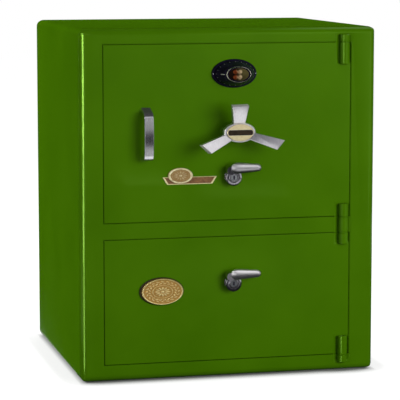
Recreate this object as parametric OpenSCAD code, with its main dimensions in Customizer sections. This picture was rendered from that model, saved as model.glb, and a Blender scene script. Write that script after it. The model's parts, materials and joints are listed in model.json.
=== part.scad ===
// A two-door steel safe: a large upper door with a combination dial, a three-arm handle, a pull
// handle and a key lever, and a small lower door with a key lever of its own.
// Millimetres. The origin is the centre of the base, +Z is up and the doors face -Y.

/* [Cabinet] */
// Overall width
body_w = 660; // [600:5:800]
// Overall height
body_h = 760; // [720:5:900]
// Overall depth
body_d = 550; // [450:5:700]
// Steel thickness of the outer casing
casing_t = 4; // [3:0.5:6]
// Steel thickness of the back panel
back_t = 4; // [3:0.5:6]
// Radius of the long edges, which run from front to back
corner_r = 18; // [12:1:26]
// Radius of the edges round the front
front_r = 16; // [12:0.5:18]
// Radius of the edges round the back
edge_r = 9; // [5:0.5:12]
// Distance across between the floor's anchor holes
anchor_dx = 360; // [240:10:440]
// Distance from front to back between the anchor holes
anchor_dy = 240; // [160:10:300]
// Diameter of an anchor hole
anchor_d = 14; // [10:1:18]

/* [Front frame] */
// Thickness of the front frame's plate
frame_t = 10; // [8:0.5:14]
// Width of the frame to the left of the doors
stile_left = 53; // [45:1:70]
// Width of the frame on the hinge side
stile_right = 58; // [50:1:75]
// Height of the frame above the upper door
rail_top = 34; // [30:1:50]
// Height of the frame between the doors
rail_mid = 37; // [34:1:60]
// Height of the frame under the lower door
rail_bottom = 37; // [34:1:60]
// How far the jamb reaches in behind the edge of a door
jamb_lap = 12; // [10:0.5:14]
// How far the jamb reaches out behind the frame
jamb_grip = 12; // [6:0.5:13]
// Thickness of the jamb's walls
jamb_t = 8; // [5:0.5:10]
// Depth of the recess in the jamb where the hinge edge swings in
swing_recess = 12; // [11:0.5:16]

/* [Doors] */
// Height of the lower door
lower_door_h = 271; // [250:1:300]
// Gap round a door
door_gap = 2.5; // [2:0.25:4]
// Thickness of a door's front plate
skin_t = 8; // [6:0.5:9]
// Radius of the front plate's edges
skin_r = 1.5; // [0.5:0.25:3]
// Room between the lock case and the rear cover
cover_room = 5; // [2:0.5:10]
// Wall thickness of that box
plug_wall = 5; // [4:0.5:7]
// Thickness of its wall on the bolts' side
bolt_wall = 8; // [6:0.5:10]
// Room between that box and the jamb on the bolts' side, which the swing needs
swing_room = 8; // [7.5:0.5:11]
// Room on the hinge side
hinge_room = 5; // [4:0.5:8]
// Room above and below
plug_room = 3; // [2:0.5:5]
// Thickness of the fire fill in a door
door_fill_t = 25; // [15:1:26]
// Thickness of the mechanism plate
mech_t = 4; // [3:0.5:5]
// Thickness of the rear cover
cover_t = 2; // [1.5:0.25:3]
// Radius of a cover screw's shank
screw_r = 1.5; // [1:0.25:2]
// Radius of a screw head
head_r = 3.2; // [3:0.1:4]
// Height of a screw head
head_h = 1.8; // [1.2:0.1:2.4]
// Depth of a cover screw in the box's wall
screw_len = 7.5; // [5:0.5:12]
// Spare depth of a screw's hole
screw_spare = 1.5; // [0.5:0.25:3]

/* [Compartments] */
// Thickness of the inner liners
liner_t = 2; // [1.5:0.25:3]
// Width of the seams between the liner's sheets
liner_seam = 0.2; // [0.1:0.05:0.4]
// Thickness of the fire fill behind the compartments
rear_fill = 54; // [30:1:90]
// Gap between a closed door's rear cover and the liner
cover_gap = 5; // [3:0.5:8]
// Height of the shelf above the floor of the upper compartment
shelf_z = 175; // [100:5:260]
// Thickness of the shelf
shelf_t = 2; // [1.5:0.25:3]
// Height of the shelf's folded front and rear lips
shelf_lip = 18; // [10:1:30]
// Distance of the shelf behind the front of the liner
shelf_setback = 40; // [20:5:80]
// Gap between the shelf and the liner
shelf_gap = 1; // [0.5:0.25:3]
// Radius of a shelf peg
peg_r = 5; // [4:0.5:7]
// How far a peg stands out of the wall
peg_len = 14; // [8:1:20]
// Distance of a peg's axis from the ends of the shelf
peg_setback = 20; // [12:1:60]

/* [Hinges] */
// Radius of the hinge barrels
barrel_r = 10.75; // [9:0.25:12]
// Radius of the hinge pins
pin_r = 4.5; // [3.5:0.25:5.5]
// Distance of the hinge axis from the doors' hinge edge
hinge_inset = 15; // [13:0.5:17]
// Distance of the hinge axis in front of the face
hinge_proud = 3; // [2.75:0.25:5]
// Length of the upper door's top knuckle
top_knuckle = 47; // [30:1:60]
// Length of the upper door's bottom knuckle
mid_upper_knuckle = 28; // [20:1:50]
// Length of the lower door's top knuckle
mid_lower_knuckle = 24; // [20:1:50]
// Length of the lower door's bottom knuckle
bottom_knuckle = 41; // [30:1:60]
// Length of the frame's knuckles above and below the doors
end_knuckle = 15; // [10:0.5:16]
// Room round a barrel in its notch
notch_room = 9; // [4:0.5:10]
// Thickness of the leaf that carries a knuckle
leaf_t = 3; // [2.5:0.25:5]
// Bevel on the ends of the barrels
barrel_bevel = 1; // [0.5:0.25:2]
// Room above and below a barrel in its notch
notch_end = 2; // [1:0.25:4]
// Distance of a leaf's edge from the edge of its notch
leaf_back = 0.5; // [0.25:0.25:2]
// Play above and below a hinge washer
washer_gap = 0.15; // [0.05:0.05:0.4]
// How much smaller a washer's radius is than a barrel's
washer_rim = 1.5; // [0.5:0.25:3]

/* [Boltwork] */
// Radius of the round bolts
bolt_r = 9; // [7:0.5:9.5]
// Travel of the bolts
throw = 20; // [16:0.5:22]
// Thickness of the carriers and of the latch bar
carrier_t = 6; // [5:0.5:8]
// Width of a carrier's bars
bar_w = 26; // [22:1:32]
// Turn of the three-arm handle from open to locked, in degrees
handle_turn = 60; // [50:5:70]
// Turn of a key lever from open to locked, in degrees
lever_turn = 90; // [80:5:90]
// Thickness of the cams
cam_t = 6; // [4:0.5:6]
// Radius of the drive pin on a cam
drive_r = 4; // [3:0.25:5]
// Width of the cams' metal round the drive pin
cam_rim = 4; // [2:0.5:6]
// Radius of the guide pins' shanks
guide_r = 4; // [3:0.25:5]
// Radius of the collar that holds a bar off the mechanism plate
guide_collar_r = 8; // [6:0.5:10]
// Radius of a guide pin's head
guide_head_r = 7; // [6:0.25:9]
// Height of a guide pin's head
guide_head_h = 3; // [2:0.25:5]
// Distance of the upper guide pins from the handle, towards the bolts
guide_near = 60; // [40:5:80]
// Distance between the two guide pins of a bar
guide_step = 90; // [50:5:100]
// Height of the lowest upper bolt above the key latch
bolt_above_latch = 44; // [40:1:60]
// Distance from the ends of the door's box to the nearest round bolt
bolt_end = 31; // [30:1:40]
// How far the end of a drawn bolt sits inside its hole
bolt_inset = 1; // [0.5:0.25:3]
// Room between the thrown carrier and the door's wall
bar_room = 1; // [0.5:0.25:4]

/* [Three-arm handle] */
// Height of the oval fittings as a share of their width
oval = 0.62; // [0.55:0.01:0.7]
// Distance of the handle and the dial to the right of the door's middle
handle_shift = 11.5; // [-20:0.5:30]
// Distance of the handle below the dial
handle_drop = 123; // [108:1:140]
// Width of the oval hub
hub_w = 71; // [60:1:80]
// Thickness of the hub
hub_t = 19; // [14:0.5:22]
// Distance of the hub's back from the door
hub_stand = 36; // [32:0.5:40]
// Reach of the arms' fronts from the centre, before the oval squeeze
arm_len = 94; // [80:1:105]
// Width of an arm where it meets the hub
arm_root_w = 26; // [18:1:32]
// Width of an arm at its tip
arm_tip_w = 37; // [30:1:46]
// Thickness of the arms
arm_t = 14; // [8:0.5:15]
// Distance of the arms' feet from the cap's edge
arm_gap = 2; // [1:0.25:4]
// How far the arms lean forward, in degrees
arm_tilt = 20; // [0:1:25]
// How far the arms are turned from upright, in degrees
arm_turn = 3; // [-10:1:10]
// Width of the hub's cap
cap_w = 58; // [40:1:60]
// Thickness of the cap
cap_t = 3; // [2:0.25:4]
// Radius of the handle's spindle
spindle_r = 9; // [7:0.25:10]
// Width of the rose on the door behind the handle
rose_w = 64; // [50:1:80]
// Height of that rose
rose_h = 20; // [10:1:28]

/* [Dial] */
// Width of the dial's fixed plate
dial_w = 100; // [90:1:110]
// Thickness of that plate
dial_plate_t = 7; // [4:0.5:9]
// Width of the knob at its foot
knob_w = 88; // [70:1:90]
// Width of the knob at its front
knob_front_w = 58; // [50:1:64]
// Height of the knob
knob_h = 33; // [26:0.5:38]
// Width of the bright ring on the knob
ring_w = 55; // [45:1:58]
// Thickness of the bright ring
ring_t = 4; // [2:0.25:6]
// Width of the metal of the bright ring
ring_wall = 5; // [3:0.25:8]
// Radius of the dial's spindle
dial_spindle_r = 4; // [3:0.25:5]

/* [Combination lock] */
// Width of the lock case
case_w = 84; // [70:1:100]
// Height of the lock case
case_h = 76; // [66:1:78]
// Room between the lock case and the top wall of the door's box
case_room = 6; // [2:0.5:20]
// Wall of the lock case
case_wall = 3; // [2:0.25:4]
// Radius of the code wheels
wheel_r = 26; // [20:0.5:28]
// Thickness of a code wheel
wheel_t = 2; // [1.5:0.1:2.2]
// Number of code wheels
wheel_count = 3; // [2:1:3]
// Gap between code wheels
wheel_gap = 0.6; // [0.3:0.1:0.8]
// Room between the last code wheel and the cover of the case
wheel_room = 0.4; // [0.3:0.1:2]
// Width of the gate in a wheel's rim
gate_w = 6; // [4:0.5:9]
// Depth of the gate
gate_h = 5; // [3:0.5:8]
// Width of the lock bolt
lock_bolt_w = 12; // [8:0.5:12]
// Length of the lock bolt
lock_bolt_len = 26; // [20:1:28]
// Thickness of the lock bolt
lock_bolt_t = 4; // [3:0.25:4.5]
// Travel of the lock bolt
lock_bolt_throw = 9; // [6:0.5:10]
// Width of the carrier's finger that the lock bolt stops
finger_w = 5; // [4:0.25:5.5]
// How far the thrown lock bolt reaches past the end of the finger
finger_hold = 7.2; // [4:0.2:8.4]

/* [Key levers] */
// Distance of the key levers to the right of the door's middle
lever_shift = 6.5; // [-20:0.5:20]
// Height of the upper key lever's axis above the door's lower edge
upper_lever_rise = 94; // [80:1:106]
// Height of the lower key lever's axis above the door's lower edge
lower_lever_rise = 171; // [150:1:195]
// Radius of a lever's round body at its front
lever_body_r = 18.5; // [17:0.5:22]
// Radius of that body at its back
lever_back_r = 15; // [13:0.5:16.5]
// Height of that body
lever_body_h = 18; // [14:0.5:20]
// Radius of the rose under the lever
lever_rose_r = 16; // [14:0.5:18]
// Thickness of that rose
lever_rose_t = 4; // [2:0.5:5]
// Height of the grip's centre line above the axis
grip_z = 21; // [20:0.5:24]
// Radius of the grip at its root
grip_root_r = 12; // [10:0.5:13]
// Radius of the grip at its end
grip_end_r = 8.5; // [6:0.5:10]
// Reach of the grip's end from the axis
grip_reach = 59; // [45:1:65]
// Thickness of the grip
grip_t = 14; // [10:0.5:14]
// How far the grip is sunk into the body
grip_sink = 2; // [1:0.25:4]
// Radius of the lever's spindle
lever_spindle_r = 8; // [6:0.25:9]
// Radius of the key plug
plug_r = 7; // [6:0.25:8]
// Depth of the key plug
key_plug_len = 15; // [10:0.5:16]
// How far the key plug stands out of the body
key_plug_proud = 0.5; // [0.25:0.25:1.5]
// Width of the keyway
keyway_w = 2; // [1.5:0.1:2.5]
// Depth of the keyway
keyway_d = 8; // [4:0.5:12]
// Reach of the keyway below the axis
keyway_low = 5; // [3:0.25:6]
// Reach of the keyway above the axis
keyway_high = 3.5; // [2:0.25:5]

/* [Pull handle] */
// Distance of the pull handle's middle from the door's left edge
pull_inset = 90; // [60:1:120]
// Width of the strip
pull_w = 23; // [16:1:28]
// Thickness of the strip
pull_t = 7; // [6:0.5:10]
// Distance of the pull handle's middle below the three-arm handle's
pull_drop = 3.5; // [0:0.5:20]
// Distance between the outer edges of the feet
pull_len = 113; // [90:1:130]
// Distance of the bar's front from the door
pull_stand = 38; // [30:1:45]
// How far the upper leg leans in
pull_lean = 11.5; // [4:0.5:14]
// Radius of the bend at the top
pull_bend = 6; // [3:0.5:7]
// Radius of the wide bend at the bottom
pull_low_bend = 14; // [11:0.5:18]
// Radius of the screws that hold the feet
pull_screw_r = 1.75; // [1.5:0.25:2.5]

/* [Badges] */
// Distance of the badge's ribbon from the key lever's axis
ribbon_gap = 33; // [28:1:60]
// Height of the ribbon's lower edge above the door's lower edge
ribbon_rise = 80; // [50:1:100]
// Length of the ribbon's upper edge
ribbon_w = 120; // [90:1:130]
// Height of the ribbon
ribbon_h = 16; // [10:0.5:20]
// How far each end of the ribbon leans in
ribbon_lean = 10; // [4:0.5:14]
// Thickness of the ribbon
ribbon_t = 2; // [1:0.25:3]
// Distance of the coin's centre from the ribbon's middle
coin_offset = -21; // [-30:1:20]
// Height of the coin's centre above the ribbon's middle
coin_rise = 11; // [0:0.5:20]
// Width of the coin
coin_w = 54.5; // [45:0.5:60]
// Thickness of the coin
coin_t = 5; // [3:0.25:6]
// Distance of the medallion's centre from the door's left edge
medal_inset = 125; // [80:1:180]
// Height of the medallion's centre above the door's lower edge
medal_rise = 157; // [80:1:200]
// Width of the medallion
medal_w = 98; // [80:1:110]
// Thickness of the medallion
medal_t = 8; // [5:0.25:10]
// Bevel of the coin's and the medallion's rims
rim_step = 1.5; // [0.5:0.25:3]

/* [Clearances] */
// Radial clearance of a shaft in its bearing
run_clear = 0.05; // [0.03:0.01:0.09]
// Clearance between sliding faces
slide_clear = 0.3; // [0.2:0.05:0.5]
// Clearance of a bolt in its guide
bolt_clear = 0.3; // [0.2:0.05:0.5]
// Clearance of a drive pin on each side of its slot
slot_clear = 0.6; // [0.55:0.05:0.8]
// Room for a shaft that passes through a piece without touching it
pass_clear = 0.8; // [0.5:0.1:1.5]
// Room round a bolt where it enters the jamb
keep_clear = 1.5; // [1:0.25:2.5]
// How much rounder the fill's corners are than the casing's
fill_ease = 1; // [0.5:0.25:3]

/* [Hidden] */
$fn = 64;
hull_fn = 32;
oval_sides = 72;
over = 1;

// Planes across the depth, counted back from the face
fill_d = skin_t;
mech_d = skin_t + door_fill_t;
work_d = mech_d + mech_t;
cam_d = work_d + slide_clear;
carrier_d = max(cam_d + cam_t + slide_clear, work_d + slide_clear + bolt_r - carrier_t / 2);
bolt_d = carrier_d + carrier_t / 2;
lock_bolt_d = carrier_d + (carrier_t - lock_bolt_t) / 2;
drive_cam_d = lock_bolt_d + lock_bolt_t + wheel_gap;
first_wheel_d = drive_cam_d + wheel_t + wheel_gap;
wheels_d = wheel_count * (wheel_t + wheel_gap);
case_rear = first_wheel_d + wheels_d + wheel_room + case_wall;
cover_d = case_rear + cover_room;
liner_front = cover_d + cover_t + cover_gap;
liner_d = body_d - back_t - rear_fill - liner_t - liner_front;
recess_end = frame_t + swing_recess;

// The two doors, as left, right, bottom and top
door_left = -body_w / 2 + stile_left;
door_right = body_w / 2 - stile_right;
door_mid = (door_left + door_right) / 2;
lower_top = rail_bottom + lower_door_h;
UPPER = [door_left, door_right, lower_top + rail_mid, body_h - rail_top];
LOWER = [door_left, door_right, rail_bottom, lower_top];

// Places of the fittings on the doors
handle_x = door_mid + handle_shift;
dial_z = plug_inner(UPPER)[3] - case_room - case_h / 2;
handle_z = dial_z - handle_drop;
lever_x = door_mid + lever_shift;
upper_lever_z = UPPER[2] + upper_lever_rise;
lower_lever_z = LOWER[2] + lower_lever_rise;
pull_x = door_left + pull_inset;
pull_z = handle_z - pull_drop - pull_len / 2;
ribbon_x = lever_x - ribbon_gap - ribbon_w / 2;
ribbon_z = UPPER[2] + ribbon_rise;
coin_x = ribbon_x + coin_offset;
coin_z = ribbon_z + ribbon_h / 2 + coin_rise;
medal_x = door_left + medal_inset;
medal_z = LOWER[2] + medal_rise;

// Hinge axis, and the knuckles' ends
hinge_x = door_right - hinge_inset;
hinge_d = -hinge_proud;
notch_left = hinge_x - barrel_r - notch_room;
notch_right = hinge_x + barrel_r + notch_room;
UPPER_KNUCKLES = [[UPPER[2], UPPER[2] + mid_upper_knuckle], [UPPER[3] - top_knuckle, UPPER[3]]];
LOWER_KNUCKLES = [[LOWER[2], LOWER[2] + bottom_knuckle], [LOWER[3] - mid_lower_knuckle, LOWER[3]]];
FRAME_KNUCKLES = [
    [LOWER[2] - door_gap - end_knuckle, LOWER[2] - door_gap],
    [LOWER[3] + door_gap, UPPER[2] - door_gap],
    [UPPER[3] + door_gap, UPPER[3] + door_gap + end_knuckle]
];
PINS = [
    [FRAME_KNUCKLES[0][0], LOWER_KNUCKLES[0][1]],
    [LOWER_KNUCKLES[1][0], UPPER_KNUCKLES[0][1]],
    [UPPER_KNUCKLES[1][0], FRAME_KNUCKLES[2][1]]
];
WASHERS = [FRAME_KNUCKLES[0][1], LOWER_KNUCKLES[1][1], FRAME_KNUCKLES[1][1], UPPER_KNUCKLES[1][1]];

// Bolts: the carriers' bars stay clear of the door's wall when they are thrown
bolt_tip_x = door_left + jamb_lap + swing_room + bolt_inset;
bar_x = door_left + jamb_lap + swing_room + bolt_wall + throw + bar_room;
bolt_pocket = throw - swing_room + slide_clear + keep_clear;
handle_drive = throw / 2 / sin(handle_turn / 2);
lever_drive = throw / 2 / sin(lever_turn / 2);
drive_rise = handle_drive * cos(handle_turn / 2);
drive_drop = lever_drive * cos(lever_turn / 2);
upper_bar_z = handle_z + (drive_rise + handle_drive) / 2;
latch_z = upper_lever_z - (drive_drop + lever_drive) / 2;
lower_bar_z = lower_lever_z - (drive_drop + lever_drive) / 2;
upper_top_bolt = UPPER[3] - jamb_lap - plug_room - bolt_end;
upper_low_bolt = latch_z + bolt_above_latch;
UPPER_BOLTS = [upper_low_bolt, (upper_low_bolt + upper_top_bolt) / 2, upper_top_bolt];
LOWER_BOLTS = [
    LOWER[2] + jamb_lap + plug_room + bolt_end,
    LOWER[3] - jamb_lap - plug_room - bolt_end
];
bar_reach = bar_w / 2 + throw / 2;
UPPER_GUIDES = [handle_x - guide_near - guide_step, handle_x - guide_near];
LEVER_GUIDES = [lever_x - guide_near - guide_step, lever_x - guide_near];

// Three-arm handle
hub_d = -hub_stand - hub_t;
cap_d = hub_d - cap_t;
arm_foot = cap_w / 2 + arm_gap;
arm_front = (arm_len - arm_foot) / cos(arm_tilt);
arm_sunk = (arm_foot - hub_w / 4) / cos(arm_tilt);
ARM_ANGLES = [for (a = [90, 210, 330]) a + arm_turn];

// Dial and combination lock
knob_d = -dial_plate_t - slide_clear - knob_h;
ring_d = knob_d - ring_t;
case_bottom = dial_z - case_h / 2;
lock_bolt_rest = case_bottom + slide_clear;
finger_top = lock_bolt_rest - lock_bolt_throw + finger_hold;
finger_x = handle_x + throw / 2 - finger_w / 2;

// Key levers
lever_foot_d = -lever_rose_t - slide_clear;
lever_face_d = lever_foot_d - lever_body_h;

// Place of a plane at depth d behind the face
function at(d) = d - body_d / 2;

// A door's box grown by the given room on its left, right, bottom and top
function grow(b, l, r, low, high) = [b[0] - l, b[1] + r, b[2] - low, b[3] + high];
function around(b, m) = grow(b, m, m, m, m);

function jamb_inner(b) = around(b, -jamb_lap);
function jamb_outer(b) = around(b, door_gap + jamb_grip);
function plug(b) = grow(
    b, -jamb_lap - swing_room, -jamb_lap - hinge_room, -jamb_lap - plug_room, -jamb_lap - plug_room
);
function plug_inner(b) = grow(plug(b), -bolt_wall, -plug_wall, -plug_wall, -plug_wall);

// Paint and metal colours
green = "#436e04";
inner_grey = "#b9b7ae";
steel = "#a9adb0";
chrome = "#d4d6d8";
gold = "#c9a24a";
bronze = "#8a5a2b";
black = "#17181a";
concrete = "#9c9a94";

module rect(b) {
    translate([b[0], b[2]]) square([b[1] - b[0], b[3] - b[2]]);
}

// A flat outline in X and Z, extruded from depth d0 to depth d1
module slab(d0, d1) {
    translate([0, at(d1), 0]) rotate([90, 0, 0]) linear_extrude(d1 - d0) children();
}

// A round bar from depth d0 to depth d1
module rod(x, z, r, d0, d1) {
    translate([x, at(d1), z]) rotate([90, 0, 0]) cylinder(r = r, h = d1 - d0);
}

// A round bar along X
module cross_rod(x0, x1, d, z, r) {
    translate([x0, at(d), z]) rotate([0, 90, 0]) cylinder(r = r, h = x1 - x0);
}

module oval_outline(w) {
    polygon([
        for (i = [0 : oval_sides - 1])
            [w / 2 * cos(i * 360 / oval_sides), oval * w / 2 * sin(i * 360 / oval_sides)]
    ]);
}

// An oval block from depth d0, in front, to depth d1, narrowing from w1 at the back to w0 at the front
module oval_block(x, z, w0, w1, d0, d1) {
    translate([x, at(d1), z]) rotate([90, 0, 0])
        if (w0 == w1) linear_extrude(d1 - d0) oval_outline(w1);
        else linear_extrude(d1 - d0, scale = w0 / w1) oval_outline(w1);
}

module round_rect(w, h, r) {
    translate([-w / 2 + r, -h / 2]) square([w - 2 * r, h]);
    translate([-w / 2, -h / 2 + r]) square([w, h - 2 * r]);
    for (x = [-1, 1], y = [-1, 1])
        translate([x * (w / 2 - r), y * (h / 2 - r)]) circle(r);
}

// A rectangle from zero whose two front corners are round
module front_round(w, t, r) {
    translate([0, r]) square([w, t - r]);
    translate([r, 0]) square([w - 2 * r, t]);
    for (x = [r, w - r]) translate([x, r]) circle(r);
}

// A slot for a pin of radius r that travels from x0 to x1
module slot(x0, x1, z, r) {
    translate([x0, z - r]) square([x1 - x0, 2 * r]);
    for (x = [x0, x1]) translate([x, z]) circle(r);
}

// Cabinet

// The cabinet's whole outer form, with all its edges rounded
module outer_form() {
    intersection() {
        translate([0, 0, body_h / 2]) slab(0, body_d) round_rect(body_w, body_h, corner_r);
        linear_extrude(body_h) round_rect(body_w, body_d, edge_r);
        translate([0, front_r, 0]) linear_extrude(body_h) round_rect(body_w, body_d + 2 * front_r, front_r);
        translate([-body_w / 2, 0, body_h / 2]) rotate([90, 0, 90])
            linear_extrude(body_w) round_rect(body_d, body_h, edge_r);
        translate([-body_w / 2, front_r, body_h / 2]) rotate([90, 0, 90])
            linear_extrude(body_w) round_rect(body_d + 2 * front_r, body_h, front_r);
    }
}

module anchor_holes(z0, z1) {
    for (x = [-1, 1], y = [-1, 1])
        translate([x * anchor_dx / 2, y * anchor_dy / 2, z0]) cylinder(d = anchor_d, h = z1 - z0);
}

module outer_casing() {
    inner_w = body_w - 2 * casing_t;
    inner_h = body_h - 2 * casing_t;
    color(green) difference() {
        intersection() {
            outer_form();
            slab(frame_t, body_d - back_t)
                rect([-body_w / 2 - over, body_w / 2 + over, -over, body_h + over]);
        }
        translate([0, 0, body_h / 2]) slab(0, body_d)
            round_rect(inner_w, inner_h, corner_r - casing_t);
        anchor_holes(-over, casing_t + over);
    }
}

module back_panel() {
    color(green) intersection() {
        outer_form();
        slab(body_d - back_t, body_d + over)
            rect([-body_w / 2 - over, body_w / 2 + over, -over, body_h + over]);
    }
}

module front_frame() {
    color(green) difference() {
        intersection() {
            outer_form();
            slab(-over, frame_t)
                rect([-body_w / 2 - over, body_w / 2 + over, -over, body_h + over]);
        }
        slab(-over, frame_t + over) {
            rect(around(UPPER, door_gap));
            rect(around(LOWER, door_gap));
            for (k = FRAME_KNUCKLES)
                rect([notch_left, notch_right, k[0] - notch_end, k[1] + notch_end]);
        }
    }
}

// Pockets behind the jamb where the bolts' ends go
module bolt_pockets(b, heights) {
    wall = jamb_inner(b)[0] - jamb_t;
    for (z = heights)
        cross_rod(wall - bolt_pocket, wall + over, bolt_d, z, bolt_r + keep_clear);
}

module fire_fill() {
    inner_w = body_w - 2 * casing_t;
    inner_h = body_h - 2 * casing_t;
    color(concrete) difference() {
        translate([0, 0, body_h / 2]) slab(frame_t, body_d - back_t)
            round_rect(inner_w, inner_h, corner_r - casing_t + fill_ease);
        for (b = [UPPER, LOWER]) {
            slab(frame_t - over, recess_end + jamb_t) rect(jamb_outer(b));
            slab(frame_t, liner_front) rect(around(jamb_inner(b), jamb_t));
            slab(frame_t, liner_front + liner_d + liner_t) rect(around(jamb_inner(b), liner_t));
        }
        bolt_pockets(UPPER, concat(UPPER_BOLTS, [latch_z]));
        bolt_pockets(LOWER, LOWER_BOLTS);
        anchor_holes(0, LOWER[2] + jamb_lap);
    }
}

// The steel lining of a door opening: a lip behind the frame, and walls back to the liner
module jamb(b, heights) {
    wall = jamb_inner(b)[0];
    difference() {
        union() {
            slab(frame_t, recess_end + jamb_t) rect(jamb_outer(b));
            slab(frame_t, liner_front) rect(around(jamb_inner(b), jamb_t));
        }
        slab(frame_t - over, liner_front + over) rect(jamb_inner(b));
        slab(frame_t - over, recess_end)
            rect([notch_left, door_right + door_gap, b[2] - door_gap, b[3] + door_gap]);
        for (z = heights)
            cross_rod(wall - jamb_t - over, wall + over, bolt_d, z, bolt_r + keep_clear);
    }
}

module upper_jamb() {
    color(green) jamb(UPPER, concat(UPPER_BOLTS, [latch_z]));
}

module lower_jamb() {
    color(green) jamb(LOWER, LOWER_BOLTS);
}

// A sheet-steel box, open to the front: a rear sheet, two sides, a floor and a top
module liner(b) {
    in = jamb_inner(b);
    rear = liner_front + liner_d;
    slab(rear, rear + liner_t) rect(around(in, liner_t));
    slab(liner_front, rear - liner_seam) {
        rect([in[0] - liner_t, in[0], in[2] - liner_t, in[3] + liner_t]);
        rect([in[1], in[1] + liner_t, in[2] - liner_t, in[3] + liner_t]);
        rect([in[0] + liner_seam, in[1] - liner_seam, in[2] - liner_t, in[2]]);
        rect([in[0] + liner_seam, in[1] - liner_seam, in[3], in[3] + liner_t]);
    }
}

module upper_liner() {
    color(inner_grey) liner(UPPER);
}

module lower_liner() {
    color(inner_grey) difference() {
        liner(LOWER);
        anchor_holes(0, LOWER[2] + jamb_lap + over);
    }
}

module shelf() {
    in = jamb_inner(UPPER);
    top = in[2] + shelf_z;
    x0 = in[0] + shelf_gap;
    x1 = in[1] - shelf_gap;
    d0 = liner_front + shelf_setback;
    d1 = liner_front + liner_d - shelf_gap;
    color(inner_grey) {
        slab(d0, d1) rect([x0, x1, top - shelf_t, top]);
        slab(d0, d0 + shelf_t) rect([x0, x1, top - shelf_lip, top]);
        slab(d1 - shelf_t, d1) rect([x0, x1, top - shelf_lip, top]);
    }
}

module shelf_pegs() {
    in = jamb_inner(UPPER);
    peg_z = in[2] + shelf_z - shelf_t - peg_r;
    front = liner_front + shelf_setback + peg_setback;
    rear = liner_front + liner_d - peg_setback;
    color(steel) for (d = [front, rear]) {
        cross_rod(in[0], in[0] + peg_len, d, peg_z, peg_r);
        cross_rod(in[1] - peg_len, in[1], d, peg_z, peg_r);
    }
}

// Hinges

// A barrel from height z0 to z1 with bevelled ends
module barrel(z0, z1) {
    translate([hinge_x, at(hinge_d), z0]) rotate_extrude() polygon([
        [0, 0], [barrel_r - barrel_bevel, 0], [barrel_r, barrel_bevel],
        [barrel_r, z1 - z0 - barrel_bevel], [barrel_r - barrel_bevel, z1 - z0], [0, z1 - z0]
    ]);
}

// A barrel on its leaf, bored for the pin and flat where it seats
module knuckle(k, left, right, seat) {
    difference() {
        union() {
            barrel(k[0], k[1]);
            slab(seat - leaf_t, seat) rect([left, right, k[0], k[1]]);
        }
        slab(seat, seat + 2 * barrel_r)
            rect([hinge_x - 2 * barrel_r, hinge_x + 2 * barrel_r, k[0] - over, k[1] + over]);
        translate([hinge_x, at(hinge_d), k[0] - over])
            cylinder(r = pin_r + run_clear, h = k[1] - k[0] + 2 * over);
    }
}

module frame_knuckles() {
    color(green) for (k = FRAME_KNUCKLES)
        knuckle(k, notch_left + leaf_back, notch_right - leaf_back, frame_t);
}

module door_knuckles(knuckles, b) {
    for (k = knuckles) knuckle(k, notch_left + leaf_back, plug(b)[1], skin_t);
}

module upper_knuckles() {
    color(green) door_knuckles(UPPER_KNUCKLES, UPPER);
}

module lower_knuckles() {
    color(green) door_knuckles(LOWER_KNUCKLES, LOWER);
}

module hinge_pins() {
    color(steel) for (p = PINS)
        translate([hinge_x, at(hinge_d), p[0] + barrel_bevel])
            cylinder(r = pin_r, h = p[1] - p[0] - 2 * barrel_bevel);
}

module hinge_washers() {
    color(gold) for (z = WASHERS)
        translate([hinge_x, at(hinge_d), z + washer_gap]) difference() {
            cylinder(r = barrel_r - washer_rim, h = door_gap - 2 * washer_gap);
            translate([0, 0, -over]) cylinder(r = pin_r + run_clear, h = door_gap + 2 * over);
        }
}

// Pieces that both doors have

module door_skin(b, knuckles) {
    w = b[1] - b[0];
    h = b[3] - b[2];
    difference() {
        intersection() {
            slab(0, skin_t) rect(b);
            translate([b[0], at(0), b[2]]) linear_extrude(h) front_round(w, skin_t, skin_r);
            translate([b[1], at(0), b[2]]) rotate([0, -90, 0]) linear_extrude(w)
                front_round(h, skin_t, skin_r);
        }
        slab(-over, skin_t + over) for (k = knuckles)
            rect([
                notch_left, door_right + over,
                k[0] == b[2] ? k[0] - over : k[0] - notch_end,
                k[1] == b[3] ? k[1] + over : k[1] + notch_end
            ]);
    }
}

module cover_screw_places(b, rows) {
    p = plug(b);
    z0 = p[2] + plug_wall / 2;
    z1 = p[3] - plug_wall / 2;
    for (i = [0 : rows - 1]) {
        z = z0 + (z1 - z0) * i / (rows - 1);
        translate([p[0] + bolt_wall / 2, 0, z]) children();
        translate([p[1] - plug_wall / 2, 0, z]) children();
    }
}

module plug_frame(b, heights, rows) {
    difference() {
        slab(skin_t, cover_d) difference() {
            rect(plug(b));
            rect(plug_inner(b));
        }
        for (z = heights)
            cross_rod(plug(b)[0] - over, plug(b)[0] + bolt_wall + over, bolt_d, z, bolt_r + bolt_clear);
        cover_screw_places(b, rows)
            rod(0, 0, screw_r + run_clear, cover_d - screw_len - screw_spare, cover_d + over);
    }
}

module rear_cover(b, rows) {
    difference() {
        slab(cover_d, cover_d + cover_t) rect(plug(b));
        cover_screw_places(b, rows) rod(0, 0, screw_r + run_clear, cover_d - over, cover_d + cover_t + over);
    }
}

module cover_screws(b, rows) {
    cover_screw_places(b, rows) {
        rod(0, 0, screw_r, cover_d - screw_len, cover_d + cover_t + head_h / 2);
        rod(0, 0, head_r, cover_d + cover_t, cover_d + cover_t + head_h);
    }
}

// A guide pin: a collar that spaces the bar off the plate, a shank in the bar's slot and a head
module guide_pin(x, z) {
    rod(x, z, guide_r, mech_d, carrier_d);
    rod(x, z, guide_collar_r, work_d, carrier_d - slide_clear);
    rod(x, z, guide_r, carrier_d - slide_clear, carrier_d + carrier_t + slide_clear);
    rod(x, z, guide_head_r, carrier_d + carrier_t + slide_clear,
        carrier_d + carrier_t + slide_clear + guide_head_h);
}

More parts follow.
